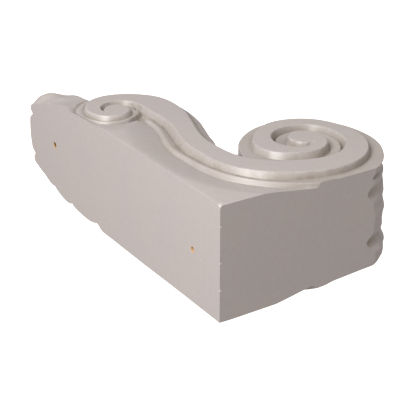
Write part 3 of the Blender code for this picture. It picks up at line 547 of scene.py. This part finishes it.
def outline():
    """Front outline of the side face from the shelf edge to the leaf end."""
    ledge = BACK_EDGE + BACK_NORMAL * BACK_PROFILE[:, 1][:, None]
    stop = np.flatnonzero((np.abs(BACK_TURN - CROTCH_TURN) < 1.0) & (ledge[:, 0] < CROTCH[0]))[-1]
    seen = (ledge[:, 0] > 0) & (BACK_TURN > FRONT_TURN) & (BACK_TURN < BACK_TURN[stop])
    run = np.flatnonzero(seen)[::-1]
    first = run[0]
    before = ledge[first + 1]
    f = -before[0] / (ledge[first, 0] - before[0])
    start = before + f * (ledge[first] - before)
    ring = np.concatenate([[start], ledge[run]])
    turn = np.cumsum(np.ones(len(FRONT_EDGE) - RING_FROM)) * FINE_STEP
    offset = np.zeros(len(FRONT_EDGE))
    offset[RING_FROM:] = RING_BANDS[:, 1] * smooth(turn / RING_JOIN)
    front = FRONT_EDGE + FRONT_NORMAL * offset[:, None]
    body = front[FRONT_GROOVE_TO:]
    below = np.flatnonzero((body[:, 0] > TAIL_START) & (body[:, 1] < tail_depth(body[:, 0])))
    body = body[:int(below[0])]
    first_s = body[-1, 0] + 0.5 * FINE_STEP
    u = np.linspace(0.0, 1.0, TAIL_SAMPLES)
    s = first_s + (TAIL_END - first_s) * np.sin(u * math.pi / 2)
    tail = np.stack([s, tail_depth(s)], 1)
    return ring, body, tail


def thin(points):
    """Fewer points along a finely sampled curve, closer together where it bends."""
    keep = [0]
    bend = 0.0
    run = 0.0
    for k in range(1, len(points) - 1):
        a = points[k] - points[k - 1]
        b = points[k + 1] - points[k]
        run += float(np.linalg.norm(a))
        bend += abs(math.atan2(a[0] * b[1] - a[1] * b[0], float(a @ b)))
        if run >= MAX_LENGTH or (bend >= MAX_TURN and run >= MIN_LENGTH):
            keep.append(k)
            bend = 0.0
            run = 0.0
    last = float(np.linalg.norm(points[-1] - points[keep[-1]]))
    if last < MIN_LENGTH * LAST_SHARE and len(keep) > 1:
        keep.pop()
    keep.append(len(points) - 1)
    return points[keep]


# ---------------- leaf relief on the front
def lobes(run, v, pitch, slant):
    """Place within each lobe of the leaf along the run, and its height: zero in the creases."""
    phase = (run - slant * np.abs(v)) / pitch
    part = phase - np.floor(phase)
    return part, arch(part)


def leaf_detail(x, part, lobe, lobed):
    """Rib, veins and margin at x across, at this part of a lobe; lobed says how scalloped it is."""
    rib = RIB[0] * bump(x / RIB[1]) - RIB[2] * hill(x, *RIB[3:])
    vein = VEIN[0] * hill(part, 0.5, VEIN[1]) * hill(x, *VEIN[2:4])
    crease = VEIN[4] * (1.0 - lobe) ** 2 * hill(x, *VEIN[2:4])
    edge = MARGIN[0] + MARGIN[1] * (lobed * lobe + 1.0 - lobed)
    drop = MARGIN[2] * ramp(x, edge, MARGIN[3]) * (1.0 - ramp(x, *MARGIN_END))
    return rib - vein - crease - drop


def upper_relief(run, total, v):
    """Leaf over the large volute: run from the shelf edge, v across (-1 to 1)."""
    x = np.abs(v)
    share = run / total
    part, lobe = lobes(run, v, UPPER_PITCH, UPPER_SLANT)
    places, right, left = UPPER_ACROSS
    across = np.where(v < 0.0, np.interp(x, places, left), np.interp(x, places, right))
    place, reach, depth = UPPER_CREASE
    across = across - depth * (1.0 - lobe) * hill(x, place, reach)
    across = across * (1.0 - ramp(share, *UPPER_END))
    place, reach, length, depth, form = SCOOP
    scoop = depth * hill(x, place, reach) * clipped(1.0 - run / length) ** form
    place, reach, width, swell = UPPER_CURL
    curl = swell * hill(share, place, reach) * clipped(1.0 - (x / width) ** 4)
    kept = ramp(run, *LEAF_QUIET) * (1.0 - ramp(share, *LEAF_FADE))
    return across - scoop + curl + leaf_detail(x, part, lobe, 1.0) * kept


def lower_relief(run, total, v):
    """Leaf from the waist to the tip: run from the hollow under the volute."""
    x = np.abs(v)
    height = np.interp(run / total, *LOWER_HEIGHT)
    part, lobe = lobes(run, v, LOWER_PITCH, LOWER_SLANT)
    place, reach, depth, thick = LOWER_CREASE
    crease = depth * (1.0 - lobe) * hill(x, place, reach)
    detail = leaf_detail(x, part, lobe, 0.0) * smooth(run / LOWER_QUIET[0])
    return (height * np.interp(x, *LOWER_ACROSS) - crease * smooth(height / thick)
            + detail * smooth((total - run) / LOWER_QUIET[1]))


def tip_reach(v):
    """How far the leaf tip runs past its corners."""
    x = np.abs(v)
    length, width = TIP_REACH
    centre = length * np.sqrt(clipped(1.0 - (x / width) ** 2))
    place, reach, length, back = TIP_SIDE
    side = length * hill(x, place, reach) - back
    place, reach, depth = TIP_NOTCH
    return np.maximum(centre, side) - depth * hill(x, place, reach)


def left_side(s, d, w):
    """The left side's own position of a point of the right side, w counted outwards."""
    place, reach, gain, fade = WEB_UNEVEN
    prouder = w + gain * hill(d, place, reach) * (1.0 - smooth(s / fade))
    w = np.minimum(prouder, np.maximum(w, LEFT_LEVEL))
    w = w + notched(s, d, RIGHT_NOTCHES) - notched(s, d, LEFT_NOTCHES)
    start, over, gain, fade = FRONT_UNEVEN
    d = d + gain * ramp(d, start, over) * (1.0 - smooth(s / fade))
    return s, d, w


def front_rows(front, half):
    """Rows of points across the front of the block, one row per outline point."""
    run = run_along(front)
    corner = int(np.argmin(np.hypot(front[:, 0] - CROTCH[0], front[:, 1] - CROTCH[1])))
    upper_total = run[corner]
    lower_total = run[-1] - run[corner + 1]
    v = np.linspace(-1.0, 1.0, 2 * ACROSS_STEPS + 1)
    normal = normals(front, 1.0)
    rows = []
    for k, (s, d) in enumerate(front):
        if k <= corner:
            relief = upper_relief(np.full(len(v), run[k]), upper_total, v)
        else:
            relief = lower_relief(np.full(len(v), run[k] - run[corner + 1]), lower_total, v)
        n = normal[k] * clipped(np.array([s, d]) / EDGE_TURN)
        n /= np.linalg.norm(n)
        reach = tip_reach(v) * clipped((s - TIP_FROM) / (TAIL_END - TIP_FROM)) ** 3
        relief[[0, -1]] = 0.0
        if k == len(front) - 1:
            relief[:] = 0.0
        reach[[0, -1]] = 0.0
        _, left_d, left_w = left_side(s, d, half[k])
        out = smooth(-v / LEFT_SPREAD)
        wide = np.where(v < 0.0, left_w, half[k])
        down = s + n[0] * relief + reach
        away = d + n[1] * relief + out * (left_d - d)
        row = np.stack([down, away, v * wide], 1)
        row[:, :2] = np.clip(row[:, :2], 0.0, FARTHEST)
        # Glaze and painted shade on the front: darker where the leaf's relief lies below its neighbours.
        rows.append((row, clipped(-(relief - across_mean(relief)) * FRONT_GLAZE_SHADE)))
    return rows


def across_mean(values):
    """Running mean over the neighbouring columns."""
    width = 2 * MEAN_REACH + 1
    return np.convolve(np.pad(values, MEAN_REACH, mode="edge"), np.ones(width) / width, mode="valid")


# ---------------- side face as a triangulated plan
def feature_lines(border):
    """Carving lines of the side face, each thinned and kept only where nothing covers it."""
    lines = []
    placed = [even(np.concatenate([border, border[:1]]))]

    def add(points, mask):
        ok = mask & inside(points, border)
        ok &= nearest(points, placed[0])[0] > EDGE_GAP
        ok &= nearest(points, np.concatenate(placed))[0] > LINE_GAP
        idx = np.flatnonzero(ok)
        for part in np.split(idx, np.flatnonzero(np.diff(idx) > 1) + 1):
            if len(part) >= LINE_LEAST:
                lines.append(thin(points[part]))
                placed.append(points[part])

    def rows(edge, normal, offset, ways, mask):
        for away in ways:
            add(edge + normal * np.reshape(offset + away, (-1, 1)), mask)

    along = np.arange(len(BACK_EDGE))
    ledged = along < SMALL_FROM
    rows(BACK_EDGE, BACK_NORMAL, 0.0, EDGE_ROWS, along >= 0)
    for k, ways in enumerate(FOOT_ROWS):
        rows(BACK_EDGE, BACK_NORMAL, BACK_PROFILE[:, k], ways, ledged & (BACK_TURN < FOOT_TURNS[k]))
    rows(BACK_EDGE, BACK_NORMAL, 0.0, WALL_ROWS, ~ledged)
    along = np.arange(len(FRONT_EDGE))
    rows(FRONT_EDGE, FRONT_NORMAL, 0.0, EDGE_ROWS, along >= 0)
    rows(FRONT_EDGE, FRONT_NORMAL, 0.0, WALL_ROWS, along < FRONT_GROOVE_TO)
    from_eye = np.hypot(RING_EDGE[:, 0] - SMALL_EYE[0], RING_EDGE[:, 1] - SMALL_EYE[1])
    for k, ways in enumerate(FOOT_ROWS):
        rows(RING_EDGE, FRONT_NORMAL[RING_FROM:], RING_BANDS[:, k], ways, from_eye > RING_CLEAR[k])
    return lines, np.concatenate(placed)


def fill_points(border, placed):
    """A loose grid of extra points where no carving line comes near, finer round the junction."""
    loose = []
    for pitch, fine in ((FILL_PITCH, False), (FINE_PITCH, True)):
        s, d = np.meshgrid(np.arange(FILL_FROM, TAIL_END, pitch), np.arange(FILL_FROM, FILL_TO, pitch))
        d = d + 0.5 * pitch * (np.arange(s.shape[1]) % 2)
        grid = np.stack([s.ravel(), d.ravel()], 1)
        grid = grid[(near_spot(grid, FINE_SPOT) > 0.0) == fine]
        loose.append(grid[inside(grid, border) & (nearest(grid, placed)[0] > FILL_CLEAR * pitch)])
    return np.concatenate(loose)


def triangulated(points, edges, near):
    """Plane triangles that keep these edges: points, triangles, their centres, origins of the points."""
    found, _, faces, origin, _, _ = delaunay_2d_cdt(points, edges, [], 1, near)
    flat = np.array([tuple(p) for p in found])
    return flat, faces, np.array([flat[list(f)].mean(axis=0) for f in faces]), origin


def side_plan(front):
    """Triangulated side face: points, half widths, triangles and the ordered border loop."""
    shelf = np.stack([np.zeros(SHELF_STEPS), np.linspace(0.0, front[0, 1], SHELF_STEPS)], 1)
    back = np.stack([np.linspace(front[-1, 0], 0.0, WALL_STEPS), np.zeros(WALL_STEPS)], 1)
    border = np.concatenate([shelf[:-1], front[:-1], back[:-1]])
    points = list(map(Vector, border))
    edges = [(k, (k + 1) % len(border)) for k in range(len(border))]
    lines, placed = feature_lines(border)
    points.extend(map(Vector, fill_points(border, placed)))
    for line in lines:
        first = len(points)
        points.extend(map(Vector, line))
        edges.extend((first + k, first + k + 1) for k in range(len(line) - 1))
    flat, faces, centre, _ = triangulated(points, edges, PLAN_NEAR)
    faces = [f for f, ok in zip(faces, inside(centre, border)) if ok]
    count = {}
    for f in faces:
        for a, b in zip(f, f[1:] + f[:1]):
            key = (min(a, b), max(a, b))
            count[key] = count.get(key, 0) + 1
    link = {}
    for (a, b), n in count.items():
        if n == 1:
            link.setdefault(a, []).append(b)
            link.setdefault(b, []).append(a)
    start = int(np.argmin(np.hypot(flat[:, 0], flat[:, 1] - front[0, 1])))
    step = [k for k in link[start] if flat[k, 0] > ON_LINE][0]
    loop = [start]
    while step != start:
        loop.append(step)
        step = [k for k in link[step] if k != loop[-2]][0]
    half = half_width(flat, border) - FRONT_DROP * (nearest(flat, front)[0] < ON_LINE)
    return flat, half, faces, loop


# ---------------- the whole block
NEAR_EDGE_STEPS = 110  # points along the edge between wall face and shelf face
EDGE_ROUND = 0.0045  # rounding of the sharp outer edges
SQUARE = 0.99999  # a flat face's normal lies this much along an axis
CORNER_CHIP = 0.020  # how much of the near top corner is knocked off
NICKS = ((0.33, 0.008, 0.0035), (0.02, 0.010, 0.003), (-0.215, 0.012, 0.0035))  # across, reach, depth
NICK_BAND = 0.012  # they stay this near the edge
NICK_EDGE = 1.5  # how sharply their primer ends
NICK_PRIMER = 0.20  # how much primer shows in them
HOLE_RINGS = (1.12, 1.3, 1.6, 2.2)  # rings of points round each hole, in radii
HOLE_ROWS = (0.04, 0.10, 0.3, 1.0)  # rows down its wall, shares of its depth
HOLE_DARK = (0.95, 0.05)  # how dark the painted shade inside is: lower hole, upper hole
HOLE_REACH = 2.5  # wood shows no further from a hole than this many radii
HOLE_BAND = 0.2  # and this far out from the wall
BARE_ALL = 1.1  # bare all round up to here, in radii
BARE_TO = 1.5  # on one side up to here
BARE_OVER = 0.4  # fading over this
DARK_OVER = 0.06  # share of the depth over which the painted shade in a hole darkens
CHIP_PITCH = 0.008
CHIP_REACH = 0.07
CHIP_SIDE = 0.40  # the chip lies past this half width
CHIP_SLOPES = (0.9, 1.3)  # how it leans down and out
CHIP_FADE = 0.010  # run over which its primer fades
EDGE_STRIPS = (0.009, 0.016, 0.030)  # rows of points along the near edge on both flat faces


def to_object(p):
    """Drawing coordinates to metres in the object's own frame."""
    return (p[2] * STOCK_WIDTH, -p[1] * STOCK_WIDTH, (MOUNT_DROP - p[0]) * STOCK_WIDTH)


def to_drawing(co):
    return MOUNT_DROP - co[2] / STOCK_WIDTH, -co[1] / STOCK_WIDTH, co[0] / STOCK_WIDTH


def vertex(bm, p):
    return bm.verts.new(to_object(p))


def cap(bm, loop, axes, holes, loose):
    """Flat face inside a loop of vertices, open over the holes, with loose vertices inside it."""
    verts = list(loop)
    rings = [range(len(loop))]
    for hole in holes:
        rings.append(range(len(verts), len(verts) + len(hole)))
        verts.extend(hole)
    verts.extend(loose)
    spots = [Vector((v.co[axes[0]], v.co[axes[1]])) / STOCK_WIDTH for v in verts]
    edges = [(r[k], r[(k + 1) % len(r)]) for r in rings for k in range(len(r))]
    _, faces, centre, origin = triangulated(spots, edges, CAP_NEAR)
    within = [inside(centre, np.array([tuple(spots[k]) for k in r])) for r in rings]
    keep = within[0] & ~np.any(within[1:], axis=0)
    return [bm.faces.new([verts[origin[k][0]] for k in f]) for f, ok in zip(faces, keep) if ok]


def screw_hole(bm, s, w, radius):
    """Blind hole in the wall face: the ring of vertices at its mouth and the loose rings round it."""
    r = radius / STOCK_WIDTH
    turn = [math.tau * k / HOLE_SIDES for k in range(HOLE_SIDES)]

    def circle(depth, grow):
        return [vertex(bm, (s + grow * r * math.cos(a), depth, w + grow * r * math.sin(a)))
                for a in turn]

    mouth = circle(0.0, 1.0)
    rows = [mouth] + [circle(HOLE_DEPTH / STOCK_WIDTH * share, 1.0) for share in HOLE_ROWS]
    for a, b in zip(rows, rows[1:]):
        for k in range(HOLE_SIDES):
            j = (k + 1) % HOLE_SIDES
            bm.faces.new((a[k], a[j], b[j], b[k]))
    bm.faces.new(rows[-1])
    loose = [v for grow in HOLE_RINGS for v in circle(0.0, grow)]
    return mouth, loose


def patch(bm, spot, axis):
    """Loose vertices on a flat face near the chipped corner; spot is (s, d, w) of the corner."""
    verts = []
    steps = range(1, int(CHIP_REACH / CHIP_PITCH))
    for i in steps:
        for j in steps:
            p = list(spot)
            p[2] -= (i + 0.5 * (j % 2)) * CHIP_PITCH
            p[axis] += j * CHIP_PITCH
            verts.append(vertex(bm, p))
    return verts


def strips(bm, wide, axis):
    """Loose vertices in rows beside the near edge, so that its wear stays beside it."""
    verts = []
    for away in EDGE_STRIPS:
        for w in np.linspace(-wide + away, wide - CHIP_REACH, NEAR_EDGE_STEPS):
            p = [0.0, 0.0, w]
            p[axis] = away
            verts.append(vertex(bm, p))
    return verts


def on_flat_face(face):
    """Whether a face lies in the wall face or the shelf face."""
    return max(abs(face.normal.y), abs(face.normal.z)) > SQUARE


def block_mesh():
    ring, body, tail = outline()
    front = np.concatenate([thin(ring), thin(body), thin(tail)[1:]])
    flat, half, faces, loop = side_plan(front)
    glaze_shade = glaze_and_shade(flat)
    end = int(np.argmin(np.hypot(flat[:, 0] - TAIL_END, flat[:, 1])))
    at = loop.index(end)
    front_loop = loop[:at + 1]
    back_loop = [k for k in loop[at:] if flat[k, 1] < PLAN_NEAR]
    shelf_loop = [k for k in loop[at:] if flat[k, 0] < PLAN_NEAR] + [loop[0]]
    bm = bmesh.new()
    # Layer of glaze and painted shade in the cuts, kept off the flat wall and shelf faces.
    glaze_shade_layer = bm.verts.layers.float.new("glaze_and_shade")
    right = [vertex(bm, (s, d, w)) for (s, d), w in zip(flat, half)]
    mirrored = np.stack(left_side(flat[:, 0], flat[:, 1], half), 1) * (1.0, 1.0, -1.0)
    left = [vertex(bm, p) for p in mirrored]
    for k in range(len(flat)):
        right[k][glaze_shade_layer] = glaze_shade[k]
        left[k][glaze_shade_layer] = glaze_shade[k]
    for f in faces:
        bm.faces.new([right[k] for k in f])
        bm.faces.new([left[k] for k in reversed(f)])
    rows = []
    for k, (row, glaze_shades) in zip(front_loop, front_rows(flat[front_loop], half[front_loop])):
        inner = [vertex(bm, p) for p in row[1:-1]]
        for vert, t in zip(inner, glaze_shades[1:-1]):
            vert[glaze_shade_layer] = t
        rows.append([left[k]] + inner + [right[k]])
    for a, b in zip(rows, rows[1:]):
        for j in range(len(a) - 1):
            bm.faces.new((a[j], a[j + 1], b[j + 1], b[j]))
    wide = half[shelf_loop[0]]
    across = np.linspace(-wide, wide, NEAR_EDGE_STEPS + 1)[1:-1]
    near = [vertex(bm, (0.0, 0.0, w)) for w in across]
    shelf = ([right[k] for k in shelf_loop[:-1]] + rows[0][::-1]
             + [left[k] for k in shelf_loop[:-1]][::-1] + near)
    wall = ([right[k] for k in back_loop[1:]] + near[::-1]
            + [left[k] for k in back_loop[1:]][::-1] + rows[-1])
    holes = [screw_hole(bm, *hole) for hole in HOLES]
    corner = (0.0, 0.0, wide)
    shelf_faces = cap(bm, shelf, (0, 1), [], patch(bm, corner, 1) + strips(bm, wide, 1))
    wall_faces = cap(bm, wall, (0, 2), [h[0] for h in holes],
                     [v for h in holes for v in h[1]] + patch(bm, corner, 0) + strips(bm, wide, 0))
    bmesh.ops.recalc_face_normals(bm, faces=bm.faces[:])
    cap_of = {f: "wall" for f in wall_faces}
    cap_of.update({f: "shelf" for f in shelf_faces})
    mouths = {v for h in holes for v in h[0]}
    rim = [e for e in bm.edges if len(e.link_faces) == 2
           and not (e.verts[0] in mouths and e.verts[1] in mouths)
           and cap_of.get(e.link_faces[0]) != cap_of.get(e.link_faces[1])]
    bmesh.ops.bevel(bm, geom=rim, offset=EDGE_ROUND * STOCK_WIDTH, segments=2, profile=0.5,
                    affect="EDGES", clamp_overlap=True)
    # No glaze or painted shade on the wall and shelf faces.
    for f in bm.faces:
        if on_flat_face(f):
            for v in f.verts:
                v[glaze_shade_layer] = 0.0
    wear(bm)
    bmesh.ops.recalc_face_normals(bm, faces=bm.faces[:])
    mesh = bpy.data.meshes.new("painted_corbel")
    bm.to_mesh(mesh)
    bm.free()
    return mesh


def wear(bm):
    """Knocked corner, nicked edge, bare wood at the holes and painted shade inside them: shape and
    colour layers.
    """
    primer = bm.verts.layers.float.new("primer")
    bare = bm.verts.layers.float.new("bare")
    # deep holds the painted shade inside the holes.
    deep = bm.verts.layers.float.new("deep")
    for v in bm.verts:
        s, d, w = to_drawing(v.co)
        if s < CHIP_REACH and d < CHIP_REACH and w > CHIP_SIDE:
            down, out = CHIP_SLOPES
            over = (w - TOP_LEVEL) - down * s - out * d + CORNER_CHIP
            if over > 0.0:
                size = over / (1.0 + down ** 2 + out ** 2)
                v.co = Vector(to_object((s + down * size, d + out * size, w - size)))
                v[primer] = 1.0
            else:
                v[primer] = float(smooth(1.0 + over / CHIP_FADE))
        if s < NICK_BAND and d < NICK_BAND:
            for place, reach, depth in NICKS:
                cut = depth * float(hill(w, place, reach))
                if cut > 0.0:
                    v.co = Vector(to_object((s + cut, d + cut, w)))
                    v[primer] = max(v[primer], NICK_PRIMER * float(smooth(cut / depth * NICK_EDGE)))
        # Bare wood round each hole, and painted shade inside it growing with depth.
        for (at, off, radius), dark in zip(HOLES, HOLE_DARK[::-1]):
            r = math.hypot(s - at, w - off) * STOCK_WIDTH / radius
            if r < HOLE_REACH and d < HOLE_BAND:
                ragged = float(smooth((BARE_TO - r) / BARE_OVER) * (w < off))
                v[bare] = 1.0 if r < BARE_ALL else ragged
                v[deep] = dark * float(ramp(d * STOCK_WIDTH / HOLE_DEPTH, HOLE_ROWS[0], DARK_OVER))


# ---------------- paint
def node(tree, kind, **values):
    made = tree.nodes.new(kind)
    for key, value in values.items():
        if key in made.inputs:
            made.inputs[key].default_value = value
        else:
            setattr(made, key, value)
    return made


def feed(tree, socket, value):
    """Give a socket a colour, a number or another node's output."""
    if isinstance(value, tuple):
        socket.default_value = value + (1.0,)
    elif isinstance(value, float):
        socket.default_value = value
    else:
        tree.links.new(value, socket)


def noise(tree, where, scale, detail, stretch):
    mapping = node(tree, "ShaderNodeMapping", Scale=stretch)
    feed(tree, mapping.inputs["Vector"], where)
    made = node(tree, "ShaderNodeTexNoise", Scale=scale, Detail=detail, Roughness=NOISE_ROUGHNESS)
    feed(tree, made.inputs["Vector"], mapping.outputs["Vector"])
    return made.outputs["Fac"]


def pattern(tree, where, rule, share=(0.0, 1.0)):
    """Noise by one of the rules below, its used span brought to this share."""
    spans = dict(zip(("From Min", "From Max", "To Min", "To Max"), rule[3:] + share))
    made = node(tree, "ShaderNodeMapRange", **spans)
    feed(tree, made.inputs["Value"], noise(tree, where, *rule[:3]))
    return made.outputs["Result"]


def mixed(tree, factor, a, b):
    made = node(tree, "ShaderNodeMix", data_type="RGBA")
    for place, value in zip(MIX_SOCKETS, (factor, a, b)):
        feed(tree, made.inputs[place], value)
    return made.outputs[2]


def arithmetic(tree, operation, a, b):
    made = node(tree, "ShaderNodeMath", operation=operation)
    for socket, value in zip(made.inputs, (a, b)):
        feed(tree, socket, value)
    return made.outputs[0]


MIX_SOCKETS = (0, 6, 7)  # factor and the two colours of a colour mix
PAINT = (0.480, 0.443, 0.435)
PAINT_WARM = (0.490, 0.451, 0.430)
# Colour of the glaze, and of the painted shade in the cuts.
GLAZE_AND_SHADE = (0.26, 0.220, 0.165)
HOLE_SHADE = (0.035, 0.014, 0.006)
PRIMER = (0.82, 0.79, 0.75)
WOOD_LIGHT = (0.72, 0.47, 0.24)
WOOD_DARK = (0.30, 0.16, 0.07)
WOOD_EVEN = 0.75  # how much the light wood covers the grain
EVENLY = (1.0, 1.0, 1.0)
# Noises: scale, detail, stretch, and the span of the noise that is used.
CLOUD = (14.0, 3.0, EVENLY, 0.35, 0.65)
MOTTLE = (160.0, 3.0, EVENLY, 0.3, 0.7)
GLAZE_SHADE_NOISE = (60.0, 2.0, EVENLY, 0.3, 0.7)
SHEEN = (45.0, 2.0, EVENLY, 0.3, 0.7)
GRAIN = (300.0, 3.0, (1.0, 1.0, 0.15), 0.35, 0.65)
NOISE_ROUGHNESS = 0.55
MOTTLE_SHARE = (0.0, 0.10)  # how much glaze lies everywhere
GLAZE_SHADE_SHARE = (0.45, 0.85)  # and how much glaze and painted shade lie in the cuts
ROUGHNESS = (0.30, 0.40)  # of the paint
PRIMER_DULL = 0.6  # how dull primer is beside bare wood
BARE_ROUGHER = 0.4  # what bare wood adds to the roughness
# Relief of the paint film: brush marks and pores, each with its share.
FILM = (((420.0, 3.0, (1.0, 1.0, 0.12)), 0.6), ((900.0, 2.0, EVENLY), 0.4))
FILM_STRENGTH = 0.12
FILM_DEPTH = 0.0006


def principled(name):
    """New material and its shader."""
    made = bpy.data.materials.new(name)
    made.use_nodes = True
    return made, made.node_tree.nodes["Principled BSDF"]


def paint_material():
    """Satin taupe paint with soft glaze and painted shade in the cuts, primer in the chips, bare wood at
    the holes and painted shade inside them.
    """
    made, shader = principled("satin_taupe_paint")
    tree = made.node_tree
    where = node(tree, "ShaderNodeTexCoord").outputs["Object"]
    layer = {name: node(tree, "ShaderNodeAttribute", attribute_name=name).outputs["Fac"]
             for name in ("glaze_and_shade", "primer", "bare", "deep")}
    colour = mixed(tree, pattern(tree, where, CLOUD), PAINT, PAINT_WARM)
    colour = mixed(tree, pattern(tree, where, MOTTLE, MOTTLE_SHARE), colour, GLAZE_AND_SHADE)
    glaze_shade_noise = pattern(tree, where, GLAZE_SHADE_NOISE, GLAZE_SHADE_SHARE)
    # Glaze and painted shade in the cuts, varied by noise.
    colour = mixed(tree, arithmetic(tree, "MULTIPLY", layer["glaze_and_shade"], glaze_shade_noise), colour, GLAZE_AND_SHADE)
    colour = mixed(tree, layer["primer"], colour, PRIMER)
    wood = mixed(tree, pattern(tree, where, GRAIN), WOOD_LIGHT, WOOD_DARK)
    wood = mixed(tree, WOOD_EVEN, wood, WOOD_LIGHT)
    colour = mixed(tree, layer["bare"], colour, wood)
    # Painted shade inside the holes.
    colour = mixed(tree, layer["deep"], colour, HOLE_SHADE)
    feed(tree, shader.inputs["Base Color"], colour)
    gloss = pattern(tree, where, SHEEN, ROUGHNESS)
    dull = arithmetic(tree, "MAXIMUM", layer["bare"],
                      arithmetic(tree, "MULTIPLY", layer["primer"], PRIMER_DULL))
    rough = arithmetic(tree, "ADD", gloss, arithmetic(tree, "MULTIPLY", dull, BARE_ROUGHER))
    feed(tree, shader.inputs["Roughness"], rough)
    shader.inputs["Metallic"].default_value = 0.0
    parts = [arithmetic(tree, "MULTIPLY", noise(tree, where, *rule), share) for rule, share in FILM]
    relief = node(tree, "ShaderNodeBump", Strength=FILM_STRENGTH, Distance=FILM_DEPTH)
    feed(tree, relief.inputs["Height"], arithmetic(tree, "ADD", *parts))
    feed(tree, shader.inputs["Normal"], relief.outputs["Normal"])
    return made


# ---------------- studio
FLOOR_Z = -1.6
FLOOR_HALF = 14.0
FLOOR_LOOK = {"Base Color": (0.95, 0.95, 0.95, 1.0), "Roughness": 0.9,
              "Emission Color": (1.0, 1.0, 1.0, 1.0), "Emission Strength": 1.0}
WORLD_LIGHT = 0.465
WORLD_COLOUR = (1.0, 0.93, 0.90)
AIM = Vector((0.0, -0.11, 0.0))
KEY_DIRECTION = (0.65, 0.72, 0.27)  # towards the light
KEY_DISTANCE = 1.9
KEY_SIZE = 1.2
KEY_POWER = 38.0
CAMERA_PLACE = (3.777, 3.943, 7.481)  # in block widths
CAMERA_RIGHT = (0.0, -0.8368, 0.5476)
CAMERA_UP = (0.9063, -0.2314, -0.3536)
CAMERA_LENS = 91.25
CAMERA_SENSOR = 36.0


def new_object(name, data):
    """Object with this data, linked to the scene."""
    made = bpy.data.objects.new(name, data)
    bpy.context.scene.collection.objects.link(made)
    return made


def floor():
    material, shader = principled("pale_floor")
    for key, value in FLOOR_LOOK.items():
        shader.inputs[key].default_value = value
    mesh = bpy.data.meshes.new("studio_floor")
    h = FLOOR_HALF
    corners = [(x, y, FLOOR_Z) for x, y in ((-h, -h), (h, -h), (h, h), (-h, h))]
    mesh.from_pydata(corners, [], [(0, 1, 2, 3)])
    mesh.materials.append(material)
    made = new_object("studio_floor", mesh)
    made.visible_diffuse = False
    made.visible_glossy = False


def key_light():
    data = bpy.data.lights.new("key", "AREA")
    data.shape = "DISK"
    data.size = KEY_SIZE
    data.energy = KEY_POWER
    made = new_object("key", data)
    made.visible_camera = False
    way = Vector(KEY_DIRECTION).normalized()
    made.location = AIM + way * KEY_DISTANCE
    made.rotation_mode = "QUATERNION"
    made.rotation_quaternion = way.to_track_quat("Z", "Y")


def studio():
    scene = bpy.context.scene
    world = bpy.data.worlds.new("studio")
    world.use_nodes = True
    sky = world.node_tree.nodes["Background"].inputs
    sky["Color"].default_value = WORLD_COLOUR + (1.0,)
    sky["Strength"].default_value = WORLD_LIGHT
    scene.world = world
    scene.view_settings.view_transform = "Standard"
    floor()
    key_light()
    right = Vector(CAMERA_RIGHT).normalized()
    up = Vector(CAMERA_UP).normalized()
    back = right.cross(up)
    data = bpy.data.cameras.new("camera")
    data.lens = CAMERA_LENS
    data.sensor_width = CAMERA_SENSOR
    camera = new_object("camera", data)
    place = Vector(CAMERA_PLACE) * STOCK_WIDTH
    camera.matrix_world = Matrix.Translation(place) @ Matrix((right, up, back)).transposed().to_4x4()
    scene.camera = camera


# ---------------- the dressed piece
def dress():
    mesh = block_mesh()
    mesh.materials.append(paint_material())
    mesh.set_sharp_from_angle(angle=SHARP_ANGLE)
    mesh.polygons.foreach_set("use_smooth", [not on_flat_face(p) for p in mesh.polygons])
    piece = new_object("painted_corbel", mesh)
    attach(piece, "root")
    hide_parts("scroll_corbel")


dress()
studio()
